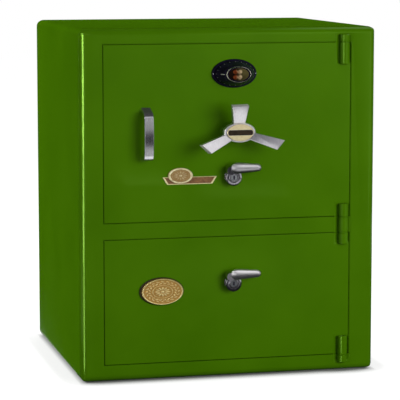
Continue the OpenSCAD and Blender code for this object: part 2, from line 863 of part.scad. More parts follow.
module guide_slots(places, z) {
    for (x = places) slot(x, x + throw, z, guide_r + slide_clear);
}

// The upright slot in a bar for a cam's drive pin, which rises and falls by the given amount
module drive_slot(x, z, rise) {
    r = drive_r + slot_clear;
    translate([x - r, z - rise / 2 - r]) square([2 * r, rise + 2 * r]);
}

module round_bolts(heights, tail) {
    for (z = heights) cross_rod(bolt_tip_x, tail, bolt_d, z, bolt_r);
}

// A cam disc with its drive pin at the given angle from +X
module drive_cam(x, z, r, angle) {
    rod(x, z, r + drive_r + cam_rim, cam_d, cam_d + cam_t);
    rod(x + r * cos(angle), z + r * sin(angle), drive_r, cam_d, carrier_d + carrier_t);
}

// Key lever fittings, alike on both doors

module lever_rose(z) {
    difference() {
        rod(lever_x, z, lever_rose_r, -lever_rose_t, 0);
        rod(lever_x, z, lever_spindle_r + pass_clear, -lever_rose_t - over, over);
    }
}

module key_lever(z) {
    grip_foot = lever_face_d + grip_sink;
    difference() {
        union() {
            translate([lever_x, at(lever_foot_d), z]) rotate([90, 0, 0])
                cylinder(r1 = lever_back_r, r2 = lever_body_r, h = lever_foot_d - lever_face_d);
            hull() {
                translate([lever_x, at(grip_foot), z + grip_z]) rotate([90, 0, 0])
                    cylinder(r = grip_root_r, h = grip_t + grip_sink, $fn = hull_fn);
                translate([lever_x + grip_reach - grip_end_r, at(grip_foot), z + grip_z]) rotate([90, 0, 0])
                    cylinder(r = grip_end_r, h = grip_t + grip_sink, $fn = hull_fn);
            }
        }
        rod(lever_x, z, plug_r + run_clear, lever_face_d - key_plug_proud - over / 2,
            lever_face_d + key_plug_len + run_clear);
    }
}

module lever_spindle(z) {
    rod(lever_x, z, lever_spindle_r, lever_foot_d, cam_d);
    drive_cam(lever_x, z, lever_drive, -90 + lever_turn / 2);
}

module key_plug(z) {
    difference() {
        rod(lever_x, z, plug_r, lever_face_d - key_plug_proud, lever_face_d + key_plug_len);
        slab(lever_face_d - key_plug_proud - over, lever_face_d + keyway_d)
            rect([lever_x - keyway_w / 2, lever_x + keyway_w / 2, z - keyway_low, z + keyway_high]);
    }
}

// Upper door

module upper_skin() {
    color(green) difference() {
        door_skin(UPPER, UPPER_KNUCKLES);
        rod(handle_x, handle_z, spindle_r + run_clear, -over, skin_t + over);
        rod(handle_x, dial_z, dial_spindle_r + run_clear, -over, skin_t + over);
        rod(lever_x, upper_lever_z, lever_spindle_r + run_clear, -over, skin_t + over);
        pull_screw_places() rod(0, 0, pull_screw_r + run_clear, -over, skin_t + over);
    }
}

module upper_plug_frame() {
    color(green) plug_frame(UPPER, concat(UPPER_BOLTS, [latch_z]), 4);
}

module upper_door_fill() {
    color(concrete) difference() {
        slab(fill_d, mech_d) rect(plug_inner(UPPER));
        rod(handle_x, handle_z, spindle_r + pass_clear, fill_d - over, mech_d + over);
        rod(handle_x, dial_z, dial_spindle_r + pass_clear, fill_d - over, mech_d + over);
        rod(lever_x, upper_lever_z, lever_spindle_r + pass_clear, fill_d - over, mech_d + over);
        pull_screw_places() rod(0, 0, head_r + pass_clear, fill_d - over, fill_d + head_h + pass_clear);
    }
}

module upper_mechanism_plate() {
    color(steel) difference() {
        slab(mech_d, work_d) rect(plug_inner(UPPER));
        rod(handle_x, handle_z, spindle_r + run_clear, mech_d - over, work_d + over);
        rod(handle_x, dial_z, dial_spindle_r + run_clear, mech_d - over, work_d + over);
        rod(lever_x, upper_lever_z, lever_spindle_r + run_clear, mech_d - over, work_d + over);
        for (x = UPPER_GUIDES) rod(x, upper_bar_z, guide_r + run_clear, mech_d - over, work_d + over);
        for (x = LEVER_GUIDES) rod(x, latch_z, guide_r + run_clear, mech_d - over, work_d + over);
    }
}

module upper_rear_cover() {
    color(inner_grey) rear_cover(UPPER, 4);
}

module upper_screws() {
    color(steel) {
        cover_screws(UPPER, 4);
        pull_screw_places() {
            rod(0, 0, pull_screw_r, -pull_t, skin_t + head_h / 2);
            rod(0, 0, head_r, skin_t, skin_t + head_h);
        }
    }
}

module upper_guide_pins() {
    color(steel) {
        for (x = UPPER_GUIDES) guide_pin(x, upper_bar_z);
        for (x = LEVER_GUIDES) guide_pin(x, latch_z);
    }
}

// The screws follow the middle of the legs, of which the upper one leans
module pull_screw_places() {
    upper = pull_len - pull_t / 2 - pull_lean * pull_t / pull_stand / 2;
    for (z = [pull_t / 2, upper]) translate([pull_x, 0, pull_z + z]) children();
}

// What a bend of radius r takes off a lower corner
module bend_waste(corner, r) {
    difference() {
        translate(corner - [r, over]) square(r + over);
        translate(corner + [-r, r]) circle(r);
    }
}

// The strip's outline from the side: standing out along the first axis, height along the second
module pull_outline() {
    difference() {
        offset(r = pull_bend) offset(delta = -pull_bend) polygon([
            [-2 * pull_bend, 0], [pull_stand, 0], [pull_stand, pull_len - pull_lean], [0, pull_len],
            [-2 * pull_bend, pull_len]
        ]);
        bend_waste([pull_stand, 0], pull_low_bend);
    }
}

module pull_handle() {
    inner_stand = pull_stand - pull_t;
    foot = pull_t;
    color(chrome) difference() {
        translate([pull_x - pull_w / 2, at(0), pull_z]) rotate([90, 0, 90]) mirror([1, 0, 0])
            linear_extrude(pull_w) intersection() {
                difference() {
                    pull_outline();
                    difference() {
                        polygon([
                            [-over, foot], [inner_stand, foot],
                            [inner_stand, pull_len - pull_lean - pull_t], [0, pull_len - foot],
                            [-over, pull_len - foot]
                        ]);
                        bend_waste([inner_stand, foot], pull_low_bend - pull_t);
                    }
                }
                square([pull_stand + over, pull_len]);
            }
        pull_screw_places() rod(0, 0, pull_screw_r + run_clear, -pull_t - over, over);
    }
}

module badge_ribbon() {
    z1 = ribbon_z + ribbon_h;
    color(gold) difference() {
        slab(-ribbon_t, 0) polygon([
            [ribbon_x - ribbon_w / 2 + ribbon_lean, ribbon_z],
            [ribbon_x + ribbon_w / 2 - ribbon_lean, ribbon_z],
            [ribbon_x + ribbon_w / 2, z1], [ribbon_x - ribbon_w / 2, z1]
        ]);
        oval_block(coin_x, coin_z, coin_w + slide_clear, coin_w + slide_clear, -coin_t, over);
    }
}

module badge_coin() {
    color(gold) {
        oval_block(coin_x, coin_z, coin_w, coin_w, -coin_t + rim_step, 0);
        oval_block(coin_x, coin_z, coin_w - 2 * rim_step, coin_w, -coin_t, -coin_t + rim_step);
    }
}

module handle_rose() {
    color(green) difference() {
        oval_block(handle_x, handle_z, rose_w - rose_h, rose_w, -rose_h, 0);
        rod(handle_x, handle_z, spindle_r + pass_clear, -rose_h - over, over);
    }
}

module dial_plate() {
    color(black) difference() {
        oval_block(handle_x, dial_z, dial_w - dial_plate_t, dial_w, -dial_plate_t, 0);
        rod(handle_x, dial_z, dial_spindle_r + pass_clear, -dial_plate_t - over, over);
    }
}

module lock_outline(m) {
    rect([
        handle_x - case_w / 2 - m, handle_x + case_w / 2 + m, dial_z - case_h / 2 - m, dial_z + case_h / 2 + m
    ]);
}

module lock_case() {
    color(steel) difference() {
        slab(work_d, case_rear - case_wall) lock_outline(0);
        slab(work_d + case_wall, case_rear) lock_outline(-case_wall);
        rod(handle_x, dial_z, dial_spindle_r + pass_clear, work_d - over, case_rear);
        slab(lock_bolt_d - slide_clear, lock_bolt_d + lock_bolt_t + slide_clear) rect([
            handle_x - lock_bolt_w / 2 - slide_clear, handle_x + lock_bolt_w / 2 + slide_clear,
            case_bottom - over, case_bottom + 2 * case_wall
        ]);
    }
}

module lock_cover() {
    color(steel) slab(case_rear - case_wall, case_rear) lock_outline(0);
}

module upper_lever_rose() {
    color(chrome) lever_rose(upper_lever_z);
}

// Three-arm handle and the boltwork it drives

// Width of an arm at a distance s along its front from its foot
function arm_w(s) = arm_root_w + (arm_tip_w - arm_root_w) * s / arm_front;

// A corner of the arm at angle a: s along its front, on one side or the other, t behind its front
function arm_corner(a, s, side, t) = let (
    along = arm_foot + s * cos(arm_tilt) + t * sin(arm_tilt),
    across = side * arm_w(s) / 2,
    d = hub_d - s * sin(arm_tilt) + t * cos(arm_tilt)
) [along * cos(a) - across * sin(a), at(d), oval * (along * sin(a) + across * cos(a))];

// One arm, from inside the hub to its tip
module arm(a) {
    polyhedron(
        points = [
            for (t = [0, arm_t])
                for (end = [[-arm_sunk, -1], [arm_front, -1], [arm_front, 1], [-arm_sunk, 1]])
                    arm_corner(a, end[0], end[1], t)
        ],
        faces = [
            [0, 3, 2, 1], [4, 5, 6, 7], [0, 1, 5, 4], [1, 2, 6, 5], [2, 3, 7, 6], [3, 0, 4, 7]
        ]
    );
}

module three_arm_handle() {
    color(chrome) difference() {
        union() {
            oval_block(handle_x, handle_z, hub_w, hub_w, hub_d, -hub_stand);
            for (a = ARM_ANGLES) translate([handle_x, 0, handle_z]) arm(a);
        }
        rod(handle_x, handle_z, spindle_r + run_clear, -hub_stand - hub_t / 2, -hub_stand + over);
    }
}

module hub_cap() {
    color(gold) oval_block(handle_x, handle_z, cap_w - cap_t, cap_w, cap_d, hub_d);
}

module handle_spindle() {
    color(steel) rod(handle_x, handle_z, spindle_r, -hub_stand - hub_t / 2, cam_d);
}

module handle_cam() {
    color(steel) drive_cam(handle_x, handle_z, handle_drive, 90 - handle_turn / 2);
}

module upper_carrier() {
    top = upper_bar_z + bar_w / 2;
    color(steel) slab(carrier_d, carrier_d + carrier_t) difference() {
        union() {
            rect([bar_x, bar_x + bar_w, UPPER_BOLTS[0] - bolt_r, UPPER_BOLTS[2] + bolt_r]);
            rect([bar_x, handle_x + throw / 2 + bar_reach, upper_bar_z - bar_w / 2, top]);
            rect([finger_x, finger_x + finger_w, upper_bar_z, finger_top]);
        }
        drive_slot(handle_x + throw / 2, upper_bar_z, handle_drive - drive_rise);
        guide_slots(UPPER_GUIDES, upper_bar_z);
    }
}

module upper_bolts() {
    color(chrome) round_bolts(UPPER_BOLTS, bar_x);
}

// Dial, code wheels and lock bolt

module dial_knob() {
    color(black) difference() {
        oval_block(handle_x, dial_z, knob_front_w, knob_w, knob_d, knob_d + knob_h);
        rod(handle_x, dial_z, dial_spindle_r + run_clear, knob_d + knob_h / 2, knob_d + knob_h + over);
    }
}

module dial_ring() {
    inner_w = ring_w - 2 * ring_wall;
    color(chrome) difference() {
        oval_block(handle_x, dial_z, ring_w, ring_w, ring_d, knob_d);
        oval_block(handle_x, dial_z, inner_w, inner_w, ring_d - over, knob_d + over);
    }
}

module dial_emblem() {
    w = ring_w - 2 * ring_wall - slide_clear;
    color(bronze) oval_block(handle_x, dial_z, w - ring_t, w, ring_d, knob_d);
}

module gate(z) {
    translate([handle_x - gate_w / 2, z - gate_h]) square([gate_w, 2 * gate_h]);
}

module dial_spindle() {
    color(steel) {
        rod(handle_x, dial_z, dial_spindle_r, knob_d + knob_h / 2, first_wheel_d + wheels_d);
        slab(drive_cam_d, drive_cam_d + wheel_t) difference() {
            translate([handle_x, dial_z]) circle(wheel_r);
            gate(dial_z - wheel_r);
        }
    }
}

module code_wheels() {
    color(gold) for (i = [0 : wheel_count - 1])
        translate([0, i * (wheel_t + wheel_gap), 0]) slab(first_wheel_d, first_wheel_d + wheel_t)
            difference() {
                translate([handle_x, dial_z]) circle(wheel_r);
                translate([handle_x, dial_z]) circle(dial_spindle_r + run_clear);
                gate(dial_z - wheel_r);
            }
}

module lock_bolt() {
    color(gold) slab(lock_bolt_d, lock_bolt_d + lock_bolt_t) rect([
        handle_x - lock_bolt_w / 2, handle_x + lock_bolt_w / 2, lock_bolt_rest, lock_bolt_rest + lock_bolt_len
    ]);
}

// Upper key lever and its latch

module upper_lever() {
    color(chrome) key_lever(upper_lever_z);
}

module upper_lever_spindle() {
    color(steel) lever_spindle(upper_lever_z);
}

module upper_key_plug() {
    color(steel) key_plug(upper_lever_z);
}

module lever_bar(z) {
    difference() {
        rect([bar_x, lever_x + throw / 2 + bar_reach, z - bar_w / 2, z + bar_w / 2]);
        drive_slot(lever_x + throw / 2, z, lever_drive - drive_drop);
        guide_slots(LEVER_GUIDES, z);
    }
}

module upper_latch_bar() {
    color(steel) {
        slab(carrier_d, carrier_d + carrier_t) lever_bar(latch_z);
        round_bolts([latch_z], bar_x + over);
    }
}

// Lower door

module lower_skin() {
    color(green) difference() {
        door_skin(LOWER, LOWER_KNUCKLES);
        rod(lever_x, lower_lever_z, lever_spindle_r + run_clear, -over, skin_t + over);
    }
}

module lower_plug_frame() {
    color(green) plug_frame(LOWER, LOWER_BOLTS, 3);
}

module lower_door_fill() {
    color(concrete) difference() {
        slab(fill_d, mech_d) rect(plug_inner(LOWER));
        rod(lever_x, lower_lever_z, lever_spindle_r + pass_clear, fill_d - over, mech_d + over);
    }
}

module lower_mechanism_plate() {
    color(steel) difference() {
        slab(mech_d, work_d) rect(plug_inner(LOWER));
        rod(lever_x, lower_lever_z, lever_spindle_r + run_clear, mech_d - over, work_d + over);
        for (x = LEVER_GUIDES) rod(x, lower_bar_z, guide_r + run_clear, mech_d - over, work_d + over);
    }
}

module lower_rear_cover() {
    color(inner_grey) rear_cover(LOWER, 3);
}

module lower_screws() {
    color(steel) cover_screws(LOWER, 3);
}

module lower_guide_pins() {
    color(steel) for (x = LEVER_GUIDES) guide_pin(x, lower_bar_z);
}

module medallion() {
    color(gold) {
        oval_block(medal_x, medal_z, medal_w, medal_w, -medal_t + rim_step, 0);
        oval_block(medal_x, medal_z, medal_w - 2 * rim_step, medal_w, -medal_t, -medal_t + rim_step);
    }
}

module lower_lever_rose() {
    color(chrome) lever_rose(lower_lever_z);
}

module lower_lever() {
    color(chrome) key_lever(lower_lever_z);
}

module lower_lever_spindle() {
    color(steel) lever_spindle(lower_lever_z);
}

module lower_key_plug() {
    color(steel) key_plug(lower_lever_z);
}

module lower_carrier() {
    color(steel) slab(carrier_d, carrier_d + carrier_t) {
        rect([bar_x, bar_x + bar_w, LOWER_BOLTS[0] - bolt_r, LOWER_BOLTS[1] + bolt_r]);
        lever_bar(lower_bar_z);
    }
}

module lower_bolts() {
    color(chrome) round_bolts(LOWER_BOLTS, bar_x);
}

outer_casing();
back_panel();
front_frame();
fire_fill();
upper_jamb();
lower_jamb();
upper_liner();
lower_liner();
shelf();
shelf_pegs();
frame_knuckles();
hinge_pins();
hinge_washers();
upper_skin();
upper_knuckles();
upper_plug_frame();
upper_door_fill();
upper_mechanism_plate();
upper_rear_cover();
upper_screws();
upper_guide_pins();
pull_handle();
badge_ribbon();
badge_coin();
handle_rose();
dial_plate();
lock_case();
lock_cover();
upper_lever_rose();
three_arm_handle();
hub_cap();
handle_spindle();
handle_cam();
upper_carrier();
upper_bolts();
dial_knob();
dial_ring();
dial_emblem();
dial_spindle();
code_wheels();
lock_bolt();
upper_lever();
upper_lever_spindle();
upper_key_plug();
upper_latch_bar();
lower_skin();
lower_knuckles();
lower_plug_frame();
lower_door_fill();
lower_mechanism_plate();
lower_rear_cover();
lower_screws();
lower_guide_pins();
medallion();
lower_lever_rose();
lower_lever();
lower_lever_spindle();
lower_key_plug();
lower_carrier();
lower_bolts();
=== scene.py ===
# Looks of a two-door steel safe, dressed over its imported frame.
# Metres, in the frame's axes: +Z is up and the doors face -Y. A fitting is modelled lying flat, with X
# across, Y up and Z out of the door in millimetres, and is then stood against the door's face.
import json
import math
from collections import namedtuple

import bmesh
import bpy
from mathutils import Matrix, Vector


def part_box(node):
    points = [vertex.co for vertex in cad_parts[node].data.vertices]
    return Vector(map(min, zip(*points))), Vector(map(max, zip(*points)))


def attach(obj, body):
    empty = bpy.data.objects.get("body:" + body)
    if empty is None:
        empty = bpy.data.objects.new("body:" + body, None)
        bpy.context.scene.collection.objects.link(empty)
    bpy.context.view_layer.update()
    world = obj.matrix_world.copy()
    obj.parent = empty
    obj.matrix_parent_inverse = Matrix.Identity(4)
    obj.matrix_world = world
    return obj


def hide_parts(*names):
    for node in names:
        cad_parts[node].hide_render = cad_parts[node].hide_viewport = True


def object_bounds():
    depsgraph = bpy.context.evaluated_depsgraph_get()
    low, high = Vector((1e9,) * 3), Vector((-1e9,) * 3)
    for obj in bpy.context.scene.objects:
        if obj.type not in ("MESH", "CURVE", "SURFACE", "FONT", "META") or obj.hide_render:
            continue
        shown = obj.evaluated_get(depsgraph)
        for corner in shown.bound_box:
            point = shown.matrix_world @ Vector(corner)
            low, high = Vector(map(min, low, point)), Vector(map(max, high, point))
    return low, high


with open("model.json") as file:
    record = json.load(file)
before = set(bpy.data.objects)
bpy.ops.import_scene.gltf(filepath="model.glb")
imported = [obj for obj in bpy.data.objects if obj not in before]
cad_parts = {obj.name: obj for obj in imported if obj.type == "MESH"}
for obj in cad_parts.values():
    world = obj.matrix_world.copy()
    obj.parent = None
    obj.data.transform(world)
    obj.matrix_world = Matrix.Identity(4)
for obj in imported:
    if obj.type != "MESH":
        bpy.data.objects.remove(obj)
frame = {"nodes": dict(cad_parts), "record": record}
cad_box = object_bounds()

MM = 0.001

# The camera, matched to the corners and edges of the safe in the photo
FOCAL_LENGTH = 180.0
SENSOR_WIDTH = 36.0
CAMERA_PLACE = (-1.092, -4.430, 0.935)
CAMERA_TURN = (82.74, 0.0, -13.87)

Place = namedtuple("Place", "middle width height back front")
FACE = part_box("upper_skin")[0].y


def place_of(node):
    """Where a fitting stands: its middle on the door's face in metres, and its width, height, back and
    front in millimetres, the last two counted out from the face."""
    low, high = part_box(node)
    middle = Vector(((low.x + high.x) / 2, FACE, (low.z + high.z) / 2))
    size = (high - low) / MM
    return Place(middle, size.x, size.z, (FACE - high.y) / MM, (FACE - low.y) / MM)


DIAL = place_of("dial_plate")
OVAL = DIAL.height / DIAL.width


# Materials

def srgb(code):
    """A linear colour from six hexadecimal digits of sRGB."""
    parts = [int(code[i:i + 2], 16) / 255 for i in (0, 2, 4)]
    linear = [c / 12.92 if c <= 0.04045 else ((c + 0.055) / 1.055) ** 2.4 for c in parts]
    return (*linear, 1.0)


def per_metre(size_mm):
    """Scale of a pattern whose features measure this many millimetres."""
    return 1 / (size_mm * MM)


def add(owner, kind, sockets=None, **settings):
    """Adds a node to a material or a world, with its settings, and with its sockets set to values or linked
    to other sockets."""
    node = owner.node_tree.nodes.new(kind)
    for name, value in settings.items():
        setattr(node, name, value)
    for name, value in (sockets or {}).items():
        if isinstance(value, bpy.types.NodeSocket):
            link(owner, value, node, name)
        else:
            node.inputs[name].default_value = value
    return node


def link(owner, source, node, socket):
    """Links an output of one node to a named socket of another."""
    owner.node_tree.links.new(source, node.inputs[socket])


def start_finish(name, **sockets):
    """A material with its shader's plain sockets set, its shader, and the place on the piece."""
    mat = bpy.data.materials.new(name)
    mat.use_nodes = True
    shader = mat.node_tree.nodes["Principled BSDF"]
    for socket, value in sockets.items():
        shader.inputs[socket.replace("_", " ")].default_value = value
    place = add(mat, "ShaderNodeTexCoord").outputs["Object"]
    return mat, shader, place


def two_tones(mat, factor, dark, light, start=0.3, end=0.7):
    """A colour that runs from dark to light as the factor goes from start to end."""
    ramp = add(mat, "ShaderNodeValToRGB", {"Fac": factor})
    for stop, position, code in zip(ramp.color_ramp.elements, (start, end), (dark, light)):
        stop.position = position
        stop.color = srgb(code)
    return ramp.outputs["Color"]


def green_enamel():
    """Enamel laid over hand-rubbed filler: a deep, even green, long soft waves, a fine orange peel and
    a gloss whose reflections take on the green of the paint."""
    mat, shader, place = start_finish("green enamel", Specular_IOR_Level=0.35)
    shader.inputs["Specular Tint"].default_value = srgb("C6FF78")
    cloud = add(mat, "ShaderNodeTexNoise", {"Vector": place, "Scale": per_metre(150), "Detail": 3.0})
    link(mat, two_tones(mat, cloud.outputs["Fac"], "3B6500", "416C02"), shader, "Base Color")
    gloss = add(mat, "ShaderNodeTexNoise", {"Vector": place, "Scale": per_metre(60), "Detail": 2.0})
    rough = add(mat, "ShaderNodeMapRange", {"Value": gloss.outputs["Fac"], "To Min": 0.2, "To Max": 0.28})
    link(mat, rough.outputs["Result"], shader, "Roughness")
    wave = add(mat, "ShaderNodeTexNoise", {"Vector": place, "Scale": per_metre(38), "Detail": 1.0})
    waves = add(mat, "ShaderNodeBump", {"Height": wave.outputs["Fac"], "Distance": 0.5 * MM})
    # Real orange peel is about 2 mm across; it is drawn at 7 mm, so that it shows
    peel = add(mat, "ShaderNodeTexNoise", {"Vector": place, "Scale": per_metre(7), "Detail": 1.0})
    skin = add(mat, "ShaderNodeBump", {"Height": peel.outputs["Fac"], "Distance": 0.04 * MM,
                                       "Normal": waves.outputs["Normal"]})
    link(mat, skin.outputs["Normal"], shader, "Normal")
    return mat


def interior_enamel():
    """Sprayed grey enamel inside the compartments: pale, with a fine pebbled skin and little gloss."""
    mat, shader, place = start_finish("grey interior enamel", Specular_IOR_Level=0.4)
    cloud = add(mat, "ShaderNodeTexNoise", {"Vector": place, "Scale": per_metre(90), "Detail": 4.0})
    link(mat, two_tones(mat, cloud.outputs["Fac"], "AFADA3", "BDBBB1"), shader, "Base Color")
    pebble = add(mat, "ShaderNodeTexVoronoi", {"Vector": place, "Scale": per_metre(5)})
    bump = add(mat, "ShaderNodeBump", {"Height": pebble.outputs["Distance"], "Distance": 0.12 * MM})
    link(mat, bump.outputs["Normal"], shader, "Normal")
    rough = add(mat, "ShaderNodeMapRange", {"Value": cloud.outputs["Fac"], "To Min": 0.45, "To Max": 0.6})
    link(mat, rough.outputs["Result"], shader, "Roughness")
    return mat


def fire_fill():
    """Poured fire-resisting concrete: pale grey, cloudy and pitted."""
    mat, shader, place = start_finish("poured concrete fill", Roughness=0.9)
    cloud = add(mat, "ShaderNodeTexNoise", {"Vector": place, "Scale": per_metre(40), "Detail": 8.0})
    link(mat, two_tones(mat, cloud.outputs["Fac"], "86847D", "A9A79F"), shader, "Base Color")
    pits = add(mat, "ShaderNodeTexVoronoi", {"Vector": place, "Scale": per_metre(8)})
    bump = add(mat, "ShaderNodeBump", {"Height": pits.outputs["Distance"], "Distance": 0.4 * MM})
    link(mat, bump.outputs["Normal"], shader, "Normal")
    return mat


def drawn_steel():
    """Bright drawn steel: a cool grey with fine draw lines along its length."""
    mat, shader, place = start_finish("drawn steel", Metallic=1.0)
    along = add(mat, "ShaderNodeMapping", {"Vector": place, "Scale": (0.05, 1.0, 1.0)})
    lines = add(mat, "ShaderNodeTexNoise", {"Vector": along.outputs["Vector"], "Scale": per_metre(2),
                                            "Detail": 3.0})
    link(mat, two_tones(mat, lines.outputs["Fac"], "94989B", "B2B6B9"), shader, "Base Color")
    rough = add(mat, "ShaderNodeMapRange", {"Value": lines.outputs["Fac"], "To Min": 0.25, "To Max": 0.42})
    link(mat, rough.outputs["Result"], shader, "Roughness")
    return mat


def chrome_plate(name, dark, light, smooth, rough):
    """Chrome plate over a buffed casting: a faintly bluish mirror, softened by buffing lines and a little
    handling. Where the plate is smoked, its two tones are dark."""
    mat, shader, place = start_finish(name, Metallic=1.0)
    along = add(mat, "ShaderNodeMapping", {"Vector": place, "Scale": (1.0, 1.0, 0.12)})
    buff = add(mat, "ShaderNodeTexNoise", {"Vector": along.outputs["Vector"], "Scale": per_metre(3),
                                           "Detail": 3.0})
    link(mat, two_tones(mat, buff.outputs["Fac"], dark, light), shader, "Base Color")
    sheen = add(mat, "ShaderNodeMapRange", {"Value": buff.outputs["Fac"], "To Min": smooth, "To Max": rough})
    link(mat, sheen.outputs["Result"], shader, "Roughness")
    bump = add(mat, "ShaderNodeBump", {"Height": buff.outputs["Fac"], "Distance": 0.01 * MM})
    link(mat, bump.outputs["Normal"], shader, "Normal")
    return mat


def grip_chrome_with_painted_shade(name, low, high, worn):
    """Chrome plate of a key lever's grip, with painted light and shade: a painted highlight on top and
    painted shade underneath, with a soft, slightly cloudy change between. Low and high are the heights in
    metres of its lowest and highest line, and worn is the colour of the painted shade underneath."""
    mat, shader, place = start_finish(name, Metallic=1.0)
    axes = add(mat, "ShaderNodeSeparateXYZ", {"Vector": place})
    height = add(mat, "ShaderNodeMapRange", {"Value": axes.outputs["Z"], "From Min": low, "From Max": high})
    smear = add(mat, "ShaderNodeTexNoise", {"Vector": place, "Scale": per_metre(14), "Detail": 2.0})
    cloudy = add(mat, "ShaderNodeMath", {0: smear.outputs["Fac"], 1: 0.25, 2: height.outputs["Result"]},
                 operation="MULTIPLY_ADD")
    # Painted shade by height: dark underneath, with a painted highlight on top
    link(mat, two_tones(mat, cloudy.outputs["Value"], worn, "F4F2F3", 0.25, 0.95), shader, "Base Color")
    sheen = add(mat, "ShaderNodeMapRange", {"Value": smear.outputs["Fac"], "To Min": 0.3, "To Max": 0.4})
    link(mat, sheen.outputs["Result"], shader, "Roughness")
    return mat


def sawn_ends():
    """Sawn ends of the handle's arms, left grey: so matt that the metal looks like pale paint."""
    mat, shader, place = start_finish("sawn steel ends", Metallic=0.3)
    along = add(mat, "ShaderNodeMapping", {"Vector": place, "Scale": (0.2, 1.0, 1.0)})
    cuts = add(mat, "ShaderNodeTexNoise", {"Vector": along.outputs["Vector"], "Scale": per_metre(2),
                                           "Detail": 2.0})
    link(mat, two_tones(mat, cuts.outputs["Fac"], "AEB2A8", "C6CABE"), shader, "Base Color")
    rough = add(mat, "ShaderNodeMapRange", {"Value": cuts.outputs["Fac"], "To Min": 0.5, "To Max": 0.65})
    link(mat, rough.outputs["Result"], shader, "Roughness")
    return mat


def patinated_brass(name, recess, crest, dark, light, matt=0.5, bright=0.22):
    """Struck brass under old lacquer, which hides part of the metal's shine: a brown patina in its
    recesses, rubbed bright on what stands out. Recess and crest are the distances from the door's face, in
    millimetres, at which it is darkest and brightest, and matt and bright the roughness there."""
    mat, shader, place = start_finish(name, Metallic=0.6)
    depth = add(mat, "ShaderNodeSeparateXYZ", {"Vector": place})
    height = add(mat, "ShaderNodeMapRange", {"Value": depth.outputs["Y"], "From Min": FACE - recess * MM,
                                             "From Max": FACE - crest * MM})
    stain = add(mat, "ShaderNodeTexNoise", {"Vector": place, "Scale": per_metre(6), "Detail": 4.0})
    worn = add(mat, "ShaderNodeMath", {0: height.outputs["Result"], 1: stain.outputs["Fac"]},
               operation="MULTIPLY")
    link(mat, two_tones(mat, worn.outputs["Value"], dark, light, 0.05, 0.6), shader, "Base Color")
    rough = add(mat, "ShaderNodeMapRange", {"Value": worn.outputs["Value"], "To Min": matt, "To Max": bright})
    link(mat, rough.outputs["Result"], shader, "Roughness")
    grain = add(mat, "ShaderNodeTexNoise", {"Vector": place, "Scale": per_metre(1.5), "Detail": 2.0})
    bump = add(mat, "ShaderNodeBump", {"Height": grain.outputs["Fac"], "Distance": 0.03 * MM})
    link(mat, bump.outputs["Normal"], shader, "Normal")
    return mat


def plain_brass():
    """Turned brass of the washers, code wheels and lock bolt: warm yellow with faint tool rings."""
    mat, shader, place = start_finish("turned brass", Metallic=1.0)
    rings = add(mat, "ShaderNodeTexNoise", {"Vector": place, "Scale": per_metre(2), "Detail": 2.0})
    link(mat, two_tones(mat, rings.outputs["Fac"], "B08D45", "C9A75C"), shader, "Base Color")
    rough = add(mat, "ShaderNodeMapRange", {"Value": rings.outputs["Fac"], "To Min": 0.22, "To Max": 0.4})
    link(mat, rough.outputs["Result"], shader, "Roughness")
    return mat


def rubbed_bronze():
    """Cast bronze boss, rubbed by hands: red-brown with brighter crests."""
    mat, shader, place = start_finish("rubbed bronze", Metallic=1.0)
    cloud = add(mat, "ShaderNodeTexNoise", {"Vector": place, "Scale": per_metre(7), "Detail": 3.0})
    link(mat, two_tones(mat, cloud.outputs["Fac"], "8A4A22", "C47A45"), shader, "Base Color")
    rough = add(mat, "ShaderNodeMapRange", {"Value": cloud.outputs["Fac"], "To Min": 0.2, "To Max": 0.36})
    link(mat, rough.outputs["Result"], shader, "Roughness")
    return mat


# Across from the boss's middle, where its painted highlight starts and where it is full, and how deep it is
# sunk
BOSS_HIGHLIGHT_START = -12.0
BOSS_HIGHLIGHT_FULL = 8.0
BOSS_SUNK = 1.3


def boss_with_painted_highlight(boss):
    """Cast bronze boss of the dial: near black where it is sunk, with a painted highlight that turns it olive
    at the right. What stands out is red-brown at the left and painted to a pale gold highlight at the right."""
    mat, shader, place = start_finish("bronze boss with painted highlight", Metallic=1.0, Roughness=0.42)
    axes = add(mat, "ShaderNodeSeparateXYZ", {"Vector": place})
    across = add(mat, "ShaderNodeMapRange", {"Value": axes.outputs["X"],
                                             "From Min": boss.middle.x + BOSS_HIGHLIGHT_START * MM,
                                             "From Max": boss.middle.x + BOSS_HIGHLIGHT_FULL * MM})
    height = add(mat, "ShaderNodeMapRange", {"Value": axes.outputs["Y"],
                                             "From Min": FACE - (boss.front - BOSS_SUNK) * MM,
                                             "From Max": FACE - (boss.front + 0.1) * MM})
    stain = add(mat, "ShaderNodeTexNoise", {"Vector": place, "Scale": per_metre(4), "Detail": 3.0})
    # Painted highlight: brighter towards the right, mixed with random stain
    rubbed = add(mat, "ShaderNodeMath", {0: stain.outputs["Fac"], 1: 0.4, 2: across.outputs["Result"]},
                 operation="MULTIPLY_ADD")
    crest = two_tones(mat, rubbed.outputs["Value"], "8A4424", "DCC294", 0.45, 0.95)
    sunk = two_tones(mat, across.outputs["Result"], "2C2018", "645C36", 0.2, 1.0)
    cast = add(mat, "ShaderNodeMix", {0: height.outputs["Result"], 6: sunk, 7: crest}, data_type="RGBA")
    link(mat, cast.outputs[2], shader, "Base Color")
    return mat


def black_lacquer():
    """Stoved black lacquer on the dial: near black with a cool cast, glossy and very slightly uneven."""
    mat, shader, place = start_finish("black stoved lacquer", Specular_IOR_Level=0.05)
    cloud = add(mat, "ShaderNodeTexNoise", {"Vector": place, "Scale": per_metre(20), "Detail": 2.0})
    link(mat, two_tones(mat, cloud.outputs["Fac"], "0E0A18", "1B152C"), shader, "Base Color")
    rough = add(mat, "ShaderNodeMapRange", {"Value": cloud.outputs["Fac"], "To Min": 0.2, "To Max": 0.32})
    link(mat, rough.outputs["Result"], shader, "Roughness")
    return mat


